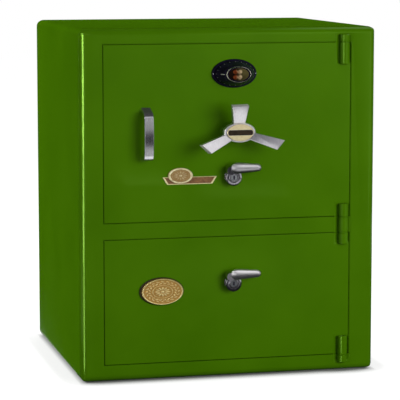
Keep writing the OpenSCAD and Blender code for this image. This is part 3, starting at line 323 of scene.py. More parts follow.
def fired_enamel(name, dark, light):
    """Enamel fired into a sunk field, or a dark colour on steel that is a painted reflection: dark, cloudy
    and softly glossy.
    """
    mat, shader, place = start_finish(name, Specular_IOR_Level=0.3)
    cloud = add(mat, "ShaderNodeTexNoise", {"Vector": place, "Scale": per_metre(5), "Detail": 3.0})
    link(mat, two_tones(mat, cloud.outputs["Fac"], dark, light), shader, "Base Color")
    rough = add(mat, "ShaderNodeMapRange", {"Value": cloud.outputs["Fac"], "To Min": 0.25, "To Max": 0.4})
    link(mat, rough.outputs["Result"], shader, "Roughness")
    return mat


def mark_filler(name, dark, light):
    """White paint wiped into the dial's marks, greyed by age: matt and slightly uneven."""
    mat, shader, place = start_finish(name, Roughness=0.6)
    cloud = add(mat, "ShaderNodeTexNoise", {"Vector": place, "Scale": per_metre(4), "Detail": 3.0})
    link(mat, two_tones(mat, cloud.outputs["Fac"], dark, light), shader, "Base Color")
    return mat


ENAMEL = green_enamel()
STEEL = drawn_steel()
SATIN_CHROME = chrome_plate("satin chrome", "DCD9DE", "EBE9EC", 0.24, 0.36)
SAWN_STEEL = sawn_ends()
BRIGHT_CHROME = chrome_plate("bright chrome", "CFCFD6", "DFDFE4", 0.08, 0.16)
BRUSHED_CHROME = chrome_plate("brushed chrome", "CACACE", "DCDCE0", 0.15, 0.22)
WORN_NICKEL = chrome_plate("worn nickel", "CAC3B4", "ECE6DA", 0.18, 0.3)
SMOKED_CHROME = chrome_plate("smoked chrome", "86848A", "A8A5AC", 0.1, 0.24)
BRASS = plain_brass()
BRONZE = rubbed_bronze()
BLACK = black_lacquer()
BAND_ENAMEL = fired_enamel("brown-black fired enamel", "1E150D", "33261A")
RIBBON_ENAMEL = fired_enamel("brown fired enamel", "64452C", "86613F")
# The pull's top leg: its dark colour is a painted reflection
PAINTED_DARK_REFLECTION = fired_enamel("painted dark reflection", "363638", "4A4A4C")
FILLER = mark_filler("aged mark filler", "77776F", "96968E")
POINTER_FILLER = mark_filler("pale pointer filler", "A9AC9E", "C6C8BC")
NODE_FINISHES = {
    "green_paint": ENAMEL,
    "interior_paint": interior_enamel(),
    "concrete": fire_fill(),
    "steel": STEEL,
    "chrome": BRIGHT_CHROME,
    "brass": BRASS,
    "bronze": BRONZE,
    "black": BLACK,
}

for subpart in frame["record"]["subparts"]:
    for material_slot in frame["nodes"][subpart["node"]].material_slots:
        material_slot.material = NODE_FINISHES[subpart["material_slot"]]
for material_slot in frame["nodes"]["hinge_washers"].material_slots:
    material_slot.material = ENAMEL


# Modelling helpers

SHARP_ANGLE = math.radians(32)


def bevel(bm, edges, width, segments):
    """Rounds edges by a width, in that many steps."""
    bmesh.ops.bevel(bm, geom=edges, offset=width, segments=segments, profile=0.5, affect="EDGES", material=-1)


def turned(profile, steps=96, closed=False):
    """A shape turned on a lathe round Z from its half profile, a list of radius and height."""
    bm = bmesh.new()
    points = [bm.verts.new((radius, 0, height)) for radius, height in profile]
    pairs = list(zip(points, points[1:]))
    if closed:
        pairs.append((points[-1], points[0]))
    edges = [bm.edges.new(pair) for pair in pairs]
    bmesh.ops.spin(bm, geom=points + edges, cent=(0, 0, 0), axis=(0, 0, 1), angle=math.tau, steps=steps,
                   use_merge=True)
    bmesh.ops.remove_doubles(bm, verts=bm.verts, dist=0.001)
    bmesh.ops.recalc_face_normals(bm, faces=bm.faces)
    return bm


def block(width, height, back, front, corner=0.0):
    """A bar that lies on Z = back, with its four upright edges rounded."""
    bm = bmesh.new()
    bmesh.ops.create_cube(bm, size=1.0)
    bmesh.ops.scale(bm, vec=(width, height, front - back), verts=bm.verts)
    bmesh.ops.translate(bm, vec=(0, 0, (front + back) / 2), verts=bm.verts)
    if corner:
        upright = [e for e in bm.edges if abs(e.verts[0].co.z - e.verts[1].co.z) > (front - back) / 2]
        bevel(bm, upright, corner, 6)
    return bm


def add_bead(bm, place, radii, turn=0.0):
    """Adds an egg-shaped bead, with the given radii along X, Y and Z, turned round Z."""
    matrix = Matrix.Translation(place) @ Matrix.Rotation(turn, 4, "Z") @ Matrix.Diagonal((*radii, 1.0))
    bmesh.ops.create_uvsphere(bm, u_segments=12, v_segments=8, radius=1.0, matrix=matrix)


def squeeze(bm):
    """Gives a round fitting the oval form that all of them share."""
    bmesh.ops.scale(bm, vec=(1, OVAL, 1), verts=bm.verts)


def fused(*parts):
    """One closed mesh from parts that overlap."""
    objects = []
    for bm in parts:
        mesh = bpy.data.meshes.new("part")
        bm.to_mesh(mesh)
        bm.free()
        objects.append(bpy.data.objects.new("part", mesh))
        bpy.context.scene.collection.objects.link(objects[-1])
    for other in objects[1:]:
        join = objects[0].modifiers.new("join", "BOOLEAN")
        join.operation = "UNION"
        join.solver = "EXACT"
        join.object = other
    whole = bmesh.new()
    whole.from_object(objects[0], bpy.context.evaluated_depsgraph_get())
    for obj in objects:
        bpy.data.meshes.remove(obj.data)
    return whole


def stand(bm, middle):
    """Stands a fitting that was modelled flat, in millimetres, against the door's face."""
    upright = Matrix.Translation(middle) @ Matrix.Rotation(math.pi / 2, 4, "X") @ Matrix.Scale(MM, 4)
    bmesh.ops.transform(bm, matrix=upright, verts=bm.verts)


def make_piece(name, bm, body, slot, *finishes, stands_for=(), soften=0.0):
    """Makes a mesh an object that rides on a body. Soften rounds its sharp edges by that many millimetres."""
    mesh = bpy.data.meshes.new(name)
    bm.to_mesh(mesh)
    bm.free()
    mesh.shade_smooth()
    mesh.set_sharp_from_angle(angle=SHARP_ANGLE)
    for finish in finishes:
        mesh.materials.append(finish)
    piece = bpy.data.objects.new(name, mesh)
    bpy.context.scene.collection.objects.link(piece)
    if soften:
        edge = piece.modifiers.new("soft edges", "BEVEL")
        edge.width = soften * MM
        edge.segments = 3
        edge.limit_method = "ANGLE"
        edge.angle_limit = SHARP_ANGLE
        edge.harden_normals = True
    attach(piece, body)
    if stands_for:
        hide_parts(*stands_for)


# Painted shell

# Nodes that are painted over as one skin, with the radius that the paint and the filler give their edges
PAINTED = {
    "outer_casing": ("cabinet", 0.0),
    "front_frame": ("cabinet", 0.8),
    "frame_knuckles": ("cabinet", 0.0),
    "upper_skin": ("upper_door", 0.0),
    "upper_knuckles": ("upper_door", 0.0),
    "handle_rose": ("upper_door", 1.0),
    "lower_skin": ("lower_door", 0.0),
    "lower_knuckles": ("lower_door", 0.0),
}


def painted_over(node, body, radius):
    """A smooth copy of a plain node, with the soft edges that thick paint leaves."""
    bm = bmesh.new()
    bm.from_mesh(frame["nodes"][node].data)
    bmesh.ops.remove_doubles(bm, verts=bm.verts, dist=0.01 * MM)
    bmesh.ops.dissolve_limit(bm, angle_limit=math.radians(0.5), verts=bm.verts, edges=bm.edges)
    make_piece(node + "_painted", bm, body, "green_paint", ENAMEL, stands_for=[node], soften=radius)


# Each hinge's hollow, from its lowest to its highest line, and the share of it on each body
HINGE_HOLLOWS = {
    "bottom_hinge": (17.5, 80.0, {"cabinet": (17.5, 36.4), "lower_door": (37.0, 80.0)}),
    "middle_hinge": (282.0, 375.0, {"lower_door": (282.0, 308.0), "cabinet": (308.6, 344.4),
                                    "upper_door": (345.0, 375.0)}),
    "top_hinge": (677.0, 745.5, {"upper_door": (677.0, 726.0), "cabinet": (726.6, 745.5)}),
}
HOLLOW_LEFT = 237.35
HOLLOW_RIGHT = 276.65
HOLLOW_DOOR_END = 271.5
HOLLOW_BACK = 4.9
HOLLOW_ROOM = 0.2
# How far each ring of the hollow goes in from the one before, and how far down
HOLLOW_RINGS = ((2.4, 0.25), (2.2, 0.45), (1.8, 0.6), (1.6, 0.7), (1.4, 0.7))


def hinge_hollow(name, low, high, body, start, end):
    """A body's share of the soft painted hollow round a hinge barrel, between two heights."""
    bm = block(HOLLOW_RIGHT - HOLLOW_LEFT, high - low - HOLLOW_ROOM, -HOLLOW_BACK, 0)
    floor = [f for f in bm.faces if f.normal.z > 0.9]
    for inwards, down in HOLLOW_RINGS:
        bmesh.ops.inset_region(bm, faces=floor, thickness=inwards, depth=-down)
    bmesh.ops.translate(bm, vec=((HOLLOW_LEFT + HOLLOW_RIGHT) / 2, (low + high) / 2, 0), verts=bm.verts)
    cuts = []
    if start > low:
        cuts.append(((0, start, 0), (0, -1, 0)))
    if end < high:
        cuts.append(((0, end, 0), (0, 1, 0)))
    if body != "cabinet":
        cuts.append(((HOLLOW_DOOR_END, 0, 0), (1, 0, 0)))
    for spot, outward in cuts:
        whole = bm.verts[:] + bm.edges[:] + bm.faces[:]
        cut = bmesh.ops.bisect_plane(bm, geom=whole, plane_co=spot, plane_no=outward, clear_outer=True)
        bmesh.ops.edgeloop_fill(bm, edges=[g for g in cut["geom_cut"] if isinstance(g, bmesh.types.BMEdge)])
    bmesh.ops.recalc_face_normals(bm, faces=bm.faces)
    stand(bm, Vector((0, FACE, 0)))
    make_piece(name + "_hollow_" + body, bm, body, "green_paint", ENAMEL)


DOOR_GAP = 2.5
LIP_WIDTH = 1.3
LIP_SUNK = 0.2
LIP_BACK = 5.0
LIP_FRONT = 1.0


def door_lip(door):
    """The paint's thick edge inside the frame's opening, all round a door's gap. It stops at the hinges."""
    low, high = (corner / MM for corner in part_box(door + "_skin"))
    left, right = low.x - DOOR_GAP - LIP_SUNK, high.x + DOOR_GAP + LIP_SUNK
    bottom, top = low.z - DOOR_GAP - LIP_SUNK, high.z + DOOR_GAP + LIP_SUNK
    wide = LIP_WIDTH + LIP_SUNK
    bars = []
    for x0, x1, y0, y1 in ((left, left + wide, bottom, top), (right - wide, right, low.z, high.z),
                           (left, HOLLOW_LEFT, bottom, bottom + wide), (left, HOLLOW_LEFT, top - wide, top)):
        bar = block(x1 - x0, y1 - y0, -LIP_BACK, -LIP_FRONT)
        bmesh.ops.translate(bar, vec=((x0 + x1) / 2, (y0 + y1) / 2, 0), verts=bar.verts)
        bars.append(bar)
    bm = fused(*bars)
    stand(bm, Vector((0, FACE, 0)))
    make_piece(door + "_opening_lip", bm, "cabinet", "green_paint", ENAMEL, soften=0.4)


# Combination dial

def dial_plate():
    """The fixed black plate: a low oval dish with a raised lip, held by a small screw at each end."""
    outer = DIAL.width / 2
    bm = turned([(5, 0), (outer, 0), (outer, 2.2), (outer - 1.6, 4.6), (outer - 3.4, 6.4), (outer - 5, 6.6),
                 (outer - 5.6, 5.8), (5, 5.8)], closed=True)
    squeeze(bm)
    stand(bm, DIAL.middle)
    make_piece("dial_plate_dish", bm, "upper_door", "black", BLACK, stands_for=["dial_plate"], soften=0.4)

    screws = bmesh.new()
    for side in (-1, 1):
        add_bead(screws, (side * (outer - 3.0), 0, 5.9), (1.7, 1.7, 1.3))
    stand(screws, DIAL.middle)
    make_piece("dial_plate_screws", screws, "upper_door", "chrome", BRIGHT_CHROME)


KNOB_EDGE = 2.6
KNOB_LEDGE = 1.1
KNOB_FACE = 29.0
KNOB_SHOULDER = 1.5
KNOB_SHOULDER_DEEP = 2.6
KNOB_TEETH = 60
GROOVE_SCALE = 0.985
DIAL_MARKS = 20


def dial_knob():
    """The knob: a cone with a milled foot and a soft shoulder, carrying a short pale pointer."""
    knob = place_of("dial_knob")
    foot = knob.width / 2
    steps = KNOB_TEETH * 2
    ledge = foot - KNOB_LEDGE
    ledge_up = knob.back + KNOB_EDGE + 1.2
    shoulder = KNOB_FACE + KNOB_SHOULDER
    shoulder_up = knob.front - KNOB_SHOULDER_DEEP
    bm = turned([(0, knob.back), (foot - 0.4, knob.back), (foot, knob.back + 0.5),
                 (foot, knob.back + KNOB_EDGE), (ledge, ledge_up), (shoulder, shoulder_up),
                 (KNOB_FACE + 0.6, knob.front - 1.0), (KNOB_FACE - 0.8, knob.front), (0, knob.front)],
                steps=steps)
    rim = [v for v in bm.verts if v.co.xy.length > foot - 0.2]
    grooves = [v for v in rim if round(math.atan2(v.co.y, v.co.x) / math.tau * steps) % 2 == 0]
    bmesh.ops.scale(bm, vec=(GROOVE_SCALE, GROOVE_SCALE, 1), verts=grooves)
    squeeze(bm)
    stand(bm, knob.middle)
    make_piece("dial_knob_cone", bm, "dial", "black", BLACK, stands_for=["dial_knob"])

    run = ledge - shoulder
    rise = shoulder_up - ledge_up
    tilt = Matrix.Rotation(math.atan2(rise, run), 4, "Y")

    def on_slope(turn, share, length, width, height):
        """Where a bar lies on the cone, at a share of the way from its foot to its shoulder."""
        seat = Matrix.Translation((ledge - share * run, 0, ledge_up + share * rise))
        return Matrix.Rotation(turn, 4, "Z") @ seat @ tilt @ Matrix.Diagonal((length, width, height, 1.0))

    marks = bmesh.new()
    for i in range(DIAL_MARKS):
        turn = i * math.tau / DIAL_MARKS
        bmesh.ops.create_cube(marks, size=1.0, matrix=on_slope(turn, 0.1, 4.5, 0.7, 0.3))
    squeeze(marks)
    stand(marks, knob.middle)
    make_piece("dial_marks", marks, "dial", "black", FILLER)

    pointer = bmesh.new()
    bmesh.ops.create_cube(pointer, size=1.0, matrix=on_slope(math.pi, 0.8, 13.0, 2.4, 1.0))
    squeeze(pointer)
    stand(pointer, knob.middle)
    make_piece("dial_pointer", pointer, "dial", "black", POINTER_FILLER, soften=0.3)


PETAL_APART = 4.8
PETAL_RISE = 9.0
PETAL_RADII = (6.0, 9.6, 2.2)
PETALS_LEFT = 3.0


def dial_centre():
    """The bright ring on the knob and the bronze boss inside it."""
    ring = place_of("dial_ring")
    outer = ring.width / 2
    bm = turned([(outer - 2.4, ring.back), (outer, ring.back), (outer, ring.back + 1.6),
                 (outer - 0.5, ring.front - 0.6), (outer - 1.2, ring.front), (outer - 1.9, ring.front - 0.6),
                 (outer - 2.4, ring.back + 1.4)], closed=True)
    squeeze(bm)
    stand(bm, ring.middle)
    make_piece("dial_bright_ring", bm, "dial", "chrome", WORN_NICKEL, stands_for=["dial_ring"], soften=0.3)

    boss = place_of("dial_emblem")
    edge = boss.width / 2
    dome = turned([(0, boss.back), (edge, boss.back), (edge, boss.back + 1.0), (edge - 4, boss.back + 1.3),
                   (edge - 8, boss.back + 1.8), (5, boss.front - 1.2), (0, boss.front - 1.1)])
    petals = []
    for x in (-PETAL_APART, PETAL_APART):
        for y in (-PETAL_RISE, PETAL_RISE):
            petals.append(bmesh.new())
            add_bead(petals[-1], (x - PETALS_LEFT, y, boss.front - 1.6), PETAL_RADII)
    bm = fused(dome, *petals)
    squeeze(bm)
    stand(bm, boss.middle)
    make_piece("dial_bronze_boss", bm, "dial", "bronze", boss_with_painted_highlight(boss), stands_for=["dial_emblem"])


# Three-arm handle

HUB_WIDTH = 71.0
HUB_BACK = 36.0
HUB_FRONT = 55.0
ARM_TURN = 3.0
ARM_LEAN = math.radians(20)
ARM_FOOT = 31.0
ARM_REACH = 94.0
ARM_FOOT_WIDTH = 26.0
ARM_TIP_WIDTH = 37.0
ARM_THICK = 14.0
ARM_ANGLES = (90, 210, 330)
ARM_EDGE = 1.1


def handle_arm(angle):
    """One flat arm that starts inside the hub, leans out from the door and flares to a square tip."""
    tip = (ARM_REACH - ARM_FOOT) / math.cos(ARM_LEAN)
    root = -(ARM_FOOT - HUB_WIDTH / 4) / math.cos(ARM_LEAN)
    root_width = ARM_FOOT_WIDTH + (ARM_TIP_WIDTH - ARM_FOOT_WIDTH) * root / tip
    bm = block(tip - root, root_width, -ARM_THICK, 0)
    bmesh.ops.translate(bm, vec=((tip + root) / 2, 0, 0), verts=bm.verts)
    tip_corners = [v for v in bm.verts if v.co.x > 0]
    bmesh.ops.scale(bm, vec=(1, ARM_TIP_WIDTH / root_width, 1), verts=tip_corners)
    bevel(bm, [e for e in bm.edges if any(v.co.x > 0 for v in e.verts)], ARM_EDGE, 3)
    place = Matrix.Rotation(angle, 4, "Z") @ Matrix.Translation((ARM_FOOT, 0, HUB_FRONT))
    bmesh.ops.transform(bm, matrix=place @ Matrix.Rotation(-ARM_LEAN, 4, "Y"), verts=bm.verts)
    return bm


def three_arm_handle():
    """The casting: a round hub with three arms, whose sawn ends are left matt."""
    rim = HUB_WIDTH / 2
    hub = turned([(0, HUB_BACK), (rim - 4, HUB_BACK), (rim - 1, HUB_BACK + 2), (rim, HUB_BACK + 5),
                  (rim, HUB_FRONT - 4), (rim - 0.8, HUB_FRONT - 1.8), (rim - 2.4, HUB_FRONT - 0.4),
                  (rim - 4.6, HUB_FRONT), (0, HUB_FRONT)])
    angles = [math.radians(a + ARM_TURN) for a in ARM_ANGLES]
    bm = fused(hub, *[handle_arm(a) for a in angles])
    bm.normal_update()
    for outward in [Vector((math.cos(a), math.sin(a), 0)) for a in angles]:
        for face in bm.faces:
            if face.normal.dot(outward) > 0.75 and face.calc_center_median().dot(outward) > ARM_REACH - 8:
                face.material_index = 1
    squeeze(bm)
    stand(bm, place_of("hub_cap").middle)
    make_piece("handle_casting", bm, "three_arm_handle", "chrome", SATIN_CHROME, SAWN_STEEL,
               stands_for=["three_arm_handle"])


BAND_WIDTH = 53.0
BAND_HEIGHT = 10.5
BAND_FRAME = 0.7


def hub_cap():
    """The gilt cap: a low rim round a gently domed face, crossed by a bare dark band in a bright frame."""
    cap = place_of("hub_cap")
    edge = cap.width / 2
    bm = turned([(0, cap.back), (edge, cap.back), (edge, cap.back + 1.4), (edge - 0.7, cap.front - 0.8),
                 (edge - 1.5, cap.front - 0.6), (edge - 2.2, cap.front - 1.0), (edge - 9, cap.front - 0.8),
                 (edge - 17, cap.front - 0.5), (0, cap.front - 0.3)])
    squeeze(bm)
    stand(bm, cap.middle)
    gilt = patinated_brass("gilt cap", cap.front - 2.4, cap.front - 0.8, "DCC894", "F0E2B6",
                           matt=0.6, bright=0.4)
    make_piece("hub_gilt_cap", bm, "three_arm_handle", "brass", gilt, stands_for=["hub_cap"], soften=0.3)

    surround = block(BAND_WIDTH + 3 * BAND_FRAME, BAND_HEIGHT + 2 * BAND_FRAME, cap.front - 1.8,
                     cap.front + 0.1, corner=BAND_HEIGHT * 0.45)
    stand(surround, cap.middle)
    make_piece("hub_band_frame", surround, "three_arm_handle", "chrome", BRIGHT_CHROME, soften=0.3)
    band = block(BAND_WIDTH, BAND_HEIGHT, cap.front - 1.4, cap.front + 0.3, corner=BAND_HEIGHT * 0.42)
    stand(band, cap.middle)
    make_piece("hub_band", band, "three_arm_handle", "brass", BAND_ENAMEL, soften=0.2)


# Key levers

LEVER_BODY = 18.5
LEVER_BACK = 15.0
LEVER_BODY_DEEP = 18.0
LEVER_BORE_DEEP = 15.6
PLUG_ROOM = 0.3
LEVER_NECK = 10.5
NECK_PLACE = (-7.5, 15.5)
GRIP_ROOT = 12.0
GRIP_END = 8.5
GRIP_SUNK = 2.0
GRIP_SHIFT = 4.0
KEYWAY = (3.2, 9.0)
SPINDLE_BORE = 8.8
# The colour of the painted shade under each grip; the lower grip's is lighter
GRIP_PAINTED_SHADE = {"upper": "7C7A80", "lower": "D8D6D8"}


def key_lever(door):
    """A round lock body with a collar round the key plug, and a tapered grip on a short neck above it."""
    rose = place_of(door + "_lever_rose")
    lever = place_of(door + "_lever")
    plug = place_of(door + "_key_plug")
    axis = rose.middle
    body_front = lever.back + LEVER_BODY_DEEP
    grip_back = body_front - GRIP_SUNK
    grip_middle = (grip_back + lever.front) / 2
    grip_up = (lever.middle.z - axis.z) / MM + lever.height / 2 - GRIP_ROOT
    reach = (lever.middle.x - axis.x) / MM + lever.width / 2
    bore = plug.width / 2 + PLUG_ROOM
    floor = body_front - LEVER_BORE_DEEP

    body = turned([(bore, floor), (bore, body_front + 1.0), (bore + 1.6, body_front + 1.2),
                   (bore + 3.2, body_front + 0.6), (bore + 3.8, body_front), (LEVER_BODY - 3.2, body_front),
                   (LEVER_BODY - 1.2, body_front - 0.8), (LEVER_BODY, body_front - 2.8),
                   (LEVER_BACK, lever.back + 0.8), (LEVER_BACK - 0.8, lever.back), (3, lever.back),
                   (3, floor)], closed=True)
    neck = turned([(0, body_front - 12), (LEVER_NECK - 1, body_front - 12), (LEVER_NECK, body_front - 9),
                   (LEVER_NECK, body_front + 1), (LEVER_NECK - 1.5, grip_middle), (0, grip_middle)], steps=48)
    bmesh.ops.translate(neck, vec=(*NECK_PLACE, 0), verts=neck.verts)
    bm = fused(body, neck)
    stand(bm, axis)
    make_piece(door + "_lever_body", bm, door + "_lever", "chrome", SMOKED_CHROME,
               stands_for=[door + "_lever"])

    run = reach - GRIP_SHIFT
    grip = turned([(0, -GRIP_ROOT), (GRIP_ROOT * 0.5, -GRIP_ROOT * 0.87),
                   (GRIP_ROOT * 0.85, -GRIP_ROOT * 0.5), (GRIP_ROOT, 0), (GRIP_ROOT * 0.97, run * 0.2),
                   (GRIP_END * 1.02, run - GRIP_END * 1.1), (GRIP_END * 0.92, run - GRIP_END * 0.5),
                   (GRIP_END * 0.6, run - GRIP_END * 0.12), (0, run)], steps=64)
    flat = Matrix.Diagonal((1, 1, (lever.front - grip_back) / (2 * GRIP_ROOT), 1))
    lay = Matrix.Translation((GRIP_SHIFT, grip_up, grip_middle)) @ flat @ Matrix.Rotation(math.pi / 2, 4, "Y")
    bmesh.ops.transform(grip, matrix=lay, verts=grip.verts)
    stand(grip, axis)
    line = axis.z + grip_up * MM
    # The grip's chrome carries painted shade underneath and a painted highlight on top
    plate = grip_chrome_with_painted_shade(door + " grip chrome", line - GRIP_ROOT * MM, line + GRIP_ROOT * MM,
                           GRIP_PAINTED_SHADE[door])
    make_piece(door + "_lever_grip", grip, door + "_lever", "chrome", plate)

    keyway = block(*KEYWAY, plug.front - 0.4, plug.front + 0.2, corner=KEYWAY[0] * 0.4)
    stand(keyway, axis)
    make_piece(door + "_keyway", keyway, door + "_key", "chrome", BLACK)

    edge = rose.width / 2
    foot = turned([(SPINDLE_BORE, 0), (edge, 0), (edge, 1.6), (edge - 1.2, 3.2), (edge - 2.6, 4.0),
                   (SPINDLE_BORE, 4.0)], closed=True)
    stand(foot, axis)
    make_piece(door + "_lever_foot", foot, door + "_door", "chrome", SMOKED_CHROME,
               stands_for=[door + "_lever_rose"])


# Pull handle

PULL_THICK = 7.0
PULL_LEAN = 11.5
PULL_BELLY = 3.0
PULL_BEND = 8.0
PULL_LOW_BEND = 14.0
PULL_NARROW = 3.0


def pull_handle():
    """A flat bar bent into a bow: a slightly bellied front, a leaning top leg whose upward faces carry a
    painted dark reflection, and a wide bend into the lower leg."""
    pull = place_of("pull_handle")
    half = pull.height / 2
    top = half - PULL_LEAN
    out = pull.front - PULL_BELLY
    bm = bmesh.new()
    bends = ((0, -half), (out, -half), (out, top), (0, half))
    path = [bm.verts.new((PULL_NARROW - pull.width / 2, up, proud)) for proud, up in bends]
    line = [bm.edges.new(pair) for pair in zip(path, path[1:])]
    swept = bmesh.ops.extrude_edge_only(bm, edges=line)["geom"]
    swept_side = [g for g in swept if isinstance(g, bmesh.types.BMVert)]
    bmesh.ops.translate(bm, vec=(pull.width - PULL_NARROW, 0, 0), verts=swept_side)
    for corner, width in ((-half, PULL_LOW_BEND), (top, PULL_BEND)):
        bend = [e for e in bm.edges if all(v.co.z > out - 1 and abs(v.co.y - corner) < 1 for v in e.verts)]
        bevel(bm, bend, width, 10)
    bar = [e for e in bm.edges if abs(e.verts[0].co.y - e.verts[1].co.y) > half]
    ends = [v.co.y for e in bar for v in e.verts]
    middle, reach = (max(ends) + min(ends)) / 2, (max(ends) - min(ends)) / 2
    bmesh.ops.subdivide_edges(bm, edges=bar, cuts=15, use_grid_fill=True)
    for v in bm.verts:
        if abs(v.co.y - middle) < reach and v.co.z > out - 1:
            v.co.z += PULL_BELLY * (1 - ((v.co.y - middle) / reach) ** 2)
    bmesh.ops.recalc_face_normals(bm, faces=bm.faces)
    bmesh.ops.solidify(bm, geom=bm.faces[:], thickness=PULL_THICK)
    bmesh.ops.recalc_face_normals(bm, faces=bm.faces)
    for v in bm.verts:
        v.co.z = max(v.co.z, 0)
    bm.normal_update()
    # A painted dark reflection on the upward faces of the top leg
    for face in bm.faces:
        if face.normal.y > 0.25 and face.calc_center_median().y > top - PULL_THICK:
            face.material_index = 1
    stand(bm, pull.middle)
    make_piece("pull_bow", bm, "upper_door", "chrome", BRUSHED_CHROME, PAINTED_DARK_REFLECTION,
               stands_for=["pull_handle"], soften=1.0)


# Badges

RIBBON_SLANT = 10.0
RIBBON_BORDER = 1.7
RIBBON_SINK = 0.7


def badge_ribbon():
    """A flat ribbon with slanted ends: a bright border, wider at the ends, round a sunk brown field that is
    left bare."""
    ribbon = place_of("badge_ribbon")
    bm = block(ribbon.width, ribbon.height, ribbon.back, ribbon.front)
    lower = [v for v in bm.verts if v.co.y < 0]
    bmesh.ops.scale(bm, vec=(1 - 2 * RIBBON_SLANT / ribbon.width, 1, 1), verts=lower)
    top = [f for f in bm.faces if f.normal.z > 0.9]
    bmesh.ops.inset_region(bm, faces=top, thickness=RIBBON_BORDER)
    bmesh.ops.scale(bm, vec=(0.955, 1, 1), verts=top[0].verts)
    bmesh.ops.inset_region(bm, faces=top, thickness=0.3, depth=-RIBBON_SINK)
    top[0].material_index = 1
    stand(bm, ribbon.middle)
    border = patinated_brass("ribbon border", ribbon.front - 1.6, ribbon.front - 0.4, "D2C084", "F6EEB8",
                             matt=0.6, bright=0.4)
    make_piece("badge_ribbon_plate", bm, "upper_door", "brass", border, RIBBON_ENAMEL,
               stands_for=["badge_ribbon"], soften=0.2)


def rosette(petals, radius, length, width, height, top):
    """Petals laid round a centre, each an egg-shaped bead that points outwards."""
    bm = bmesh.new()
    for i in range(petals):
        angle = i * math.tau / petals
        spot = (radius * math.cos(angle), radius * math.sin(angle), top)
        add_bead(bm, spot, (length, width, height), angle)
    return bm


BEAD_RING = 18.6
COIN_BEADS = 36


def badge_coin():
    """A struck coin with a plain bright rim and a flower of generic petals."""
    coin = place_of("badge_coin")
    edge = coin.width / 2
    field = coin.front - 1.2
    disc = turned([(0, coin.back), (edge, coin.back), (edge, coin.front - 1.2), (edge - 1.0, coin.front),
                   (edge - 5.0, coin.front), (edge - 5.6, field), (0, field)])
    flower = rosette(petals=12, radius=11.0, length=5.6, width=2.1, height=0.4, top=field)
    add_bead(flower, (0, 0, field), (4.2, 4.2, 1.1))
    for i in range(COIN_BEADS):
        angle = i * math.tau / COIN_BEADS
        add_bead(flower, (BEAD_RING * math.cos(angle), BEAD_RING * math.sin(angle), field), (0.8, 0.8, 0.7))
    bm = fused(disc, flower)
    squeeze(bm)
    stand(bm, coin.middle)
    struck = patinated_brass("struck coin brass", field - 0.2, coin.front + 0.1, "A6844E", "FFF8CC",
                             matt=0.65, bright=0.4)
    make_piece("badge_struck_coin", bm, "upper_door", "brass", struck, stands_for=["badge_coin"])


MEDAL_LESS = 3.0
# The face is shifted right and down, so that the dark backing shows at the left and top as painted shadow
MEDAL_SHADOW_SHIFT = (1.6, -0.8, 0.0)
MEDAL_BACK_DEEP = 4.6
# The wreath: its leaves in a row, and each row's radius and lean
WREATH_LEAVES = 20
WREATH_ROWS = ((35.5, 0.55), (29.0, -0.55))


def medallion():
    """A heavy oval medallion: a dark backing plate, whose edge at the left and top is painted shadow, and a
    gilt face with a rolled rim, a wreath of leaves, and a rayed flower in an inner ring."""
    medal = place_of("medallion")
    edge = medal.width / 2
    back = turned([(0, medal.back), (edge, medal.back), (edge, MEDAL_BACK_DEEP - 1.6),
                   (edge - 1.6, MEDAL_BACK_DEEP), (0, MEDAL_BACK_DEEP)], steps=128)
    squeeze(back)
    stand(back, medal.middle)
    # The backing's dark colour is painted shadow
    dark = patinated_brass("painted shadow backing", 0.0, MEDAL_BACK_DEEP * 2, "2A2416", "5A4E30")
    make_piece("medallion_back", back, "lower_door", "brass", dark)

    edge = edge - MEDAL_LESS
    field = medal.front - 1.6
    disc = turned([(0, medal.back + 1), (edge, medal.back + 1), (edge, medal.front - 2.6),
                   (edge - 0.8, medal.front - 0.9), (edge - 2.0, medal.front),
                   (edge - 3.4, medal.front - 0.3), (edge - 4.4, field), (23.5, field), (22.6, field + 0.8),
                   (21.4, field + 0.8), (20.5, field), (0, field)], steps=128)
    relief = rosette(petals=12, radius=11.5, length=6.4, width=2.5, height=1.2, top=field)
    add_bead(relief, (0, 0, field), (4.4, 4.4, 1.7))
    leaf_step = math.tau / WREATH_LEAVES
    for i in range(WREATH_LEAVES):
        for radius, lean in WREATH_ROWS:
            spot = i * leaf_step + (0.5 * leaf_step if lean < 0 else 0)
            add_bead(relief, (radius * math.cos(spot), radius * math.sin(spot), field), (4.8, 2.2, 1.0),
                     spot + math.pi / 2 - lean)
    bm = fused(disc, relief)
    bmesh.ops.translate(bm, vec=MEDAL_SHADOW_SHIFT, verts=bm.verts)
    squeeze(bm)
    stand(bm, medal.middle)
    cast = patinated_brass("cast gilt brass", field - 0.1, medal.front - 0.4, "C89C52", "FFEFAE",
                           matt=0.5, bright=0.3)
    make_piece("medallion_cast", bm, "lower_door", "brass", cast, stands_for=["medallion"])


for painted_node, (ridden_body, edge_radius) in PAINTED.items():
    painted_over(painted_node, ridden_body, edge_radius)
for hinge, (hollow_low, hollow_high, shares) in HINGE_HOLLOWS.items():
    for ridden_body, (share_start, share_end) in shares.items():
        hinge_hollow(hinge, hollow_low, hollow_high, ridden_body, share_start, share_end)
door_lip("upper")
door_lip("lower")
dial_plate()
dial_knob()
dial_centre()
three_arm_handle()
hub_cap()
key_lever("upper")
key_lever("lower")
pull_handle()
badge_ribbon()
badge_coin()
medallion()


# Stage, lamps and camera, in metres

AMBIENT = 0.38
CENTRE = (0.0, 0.0, 0.4)
SAFE_SIDE = cad_box[1][0]
FLOOR_HALF = 12.0
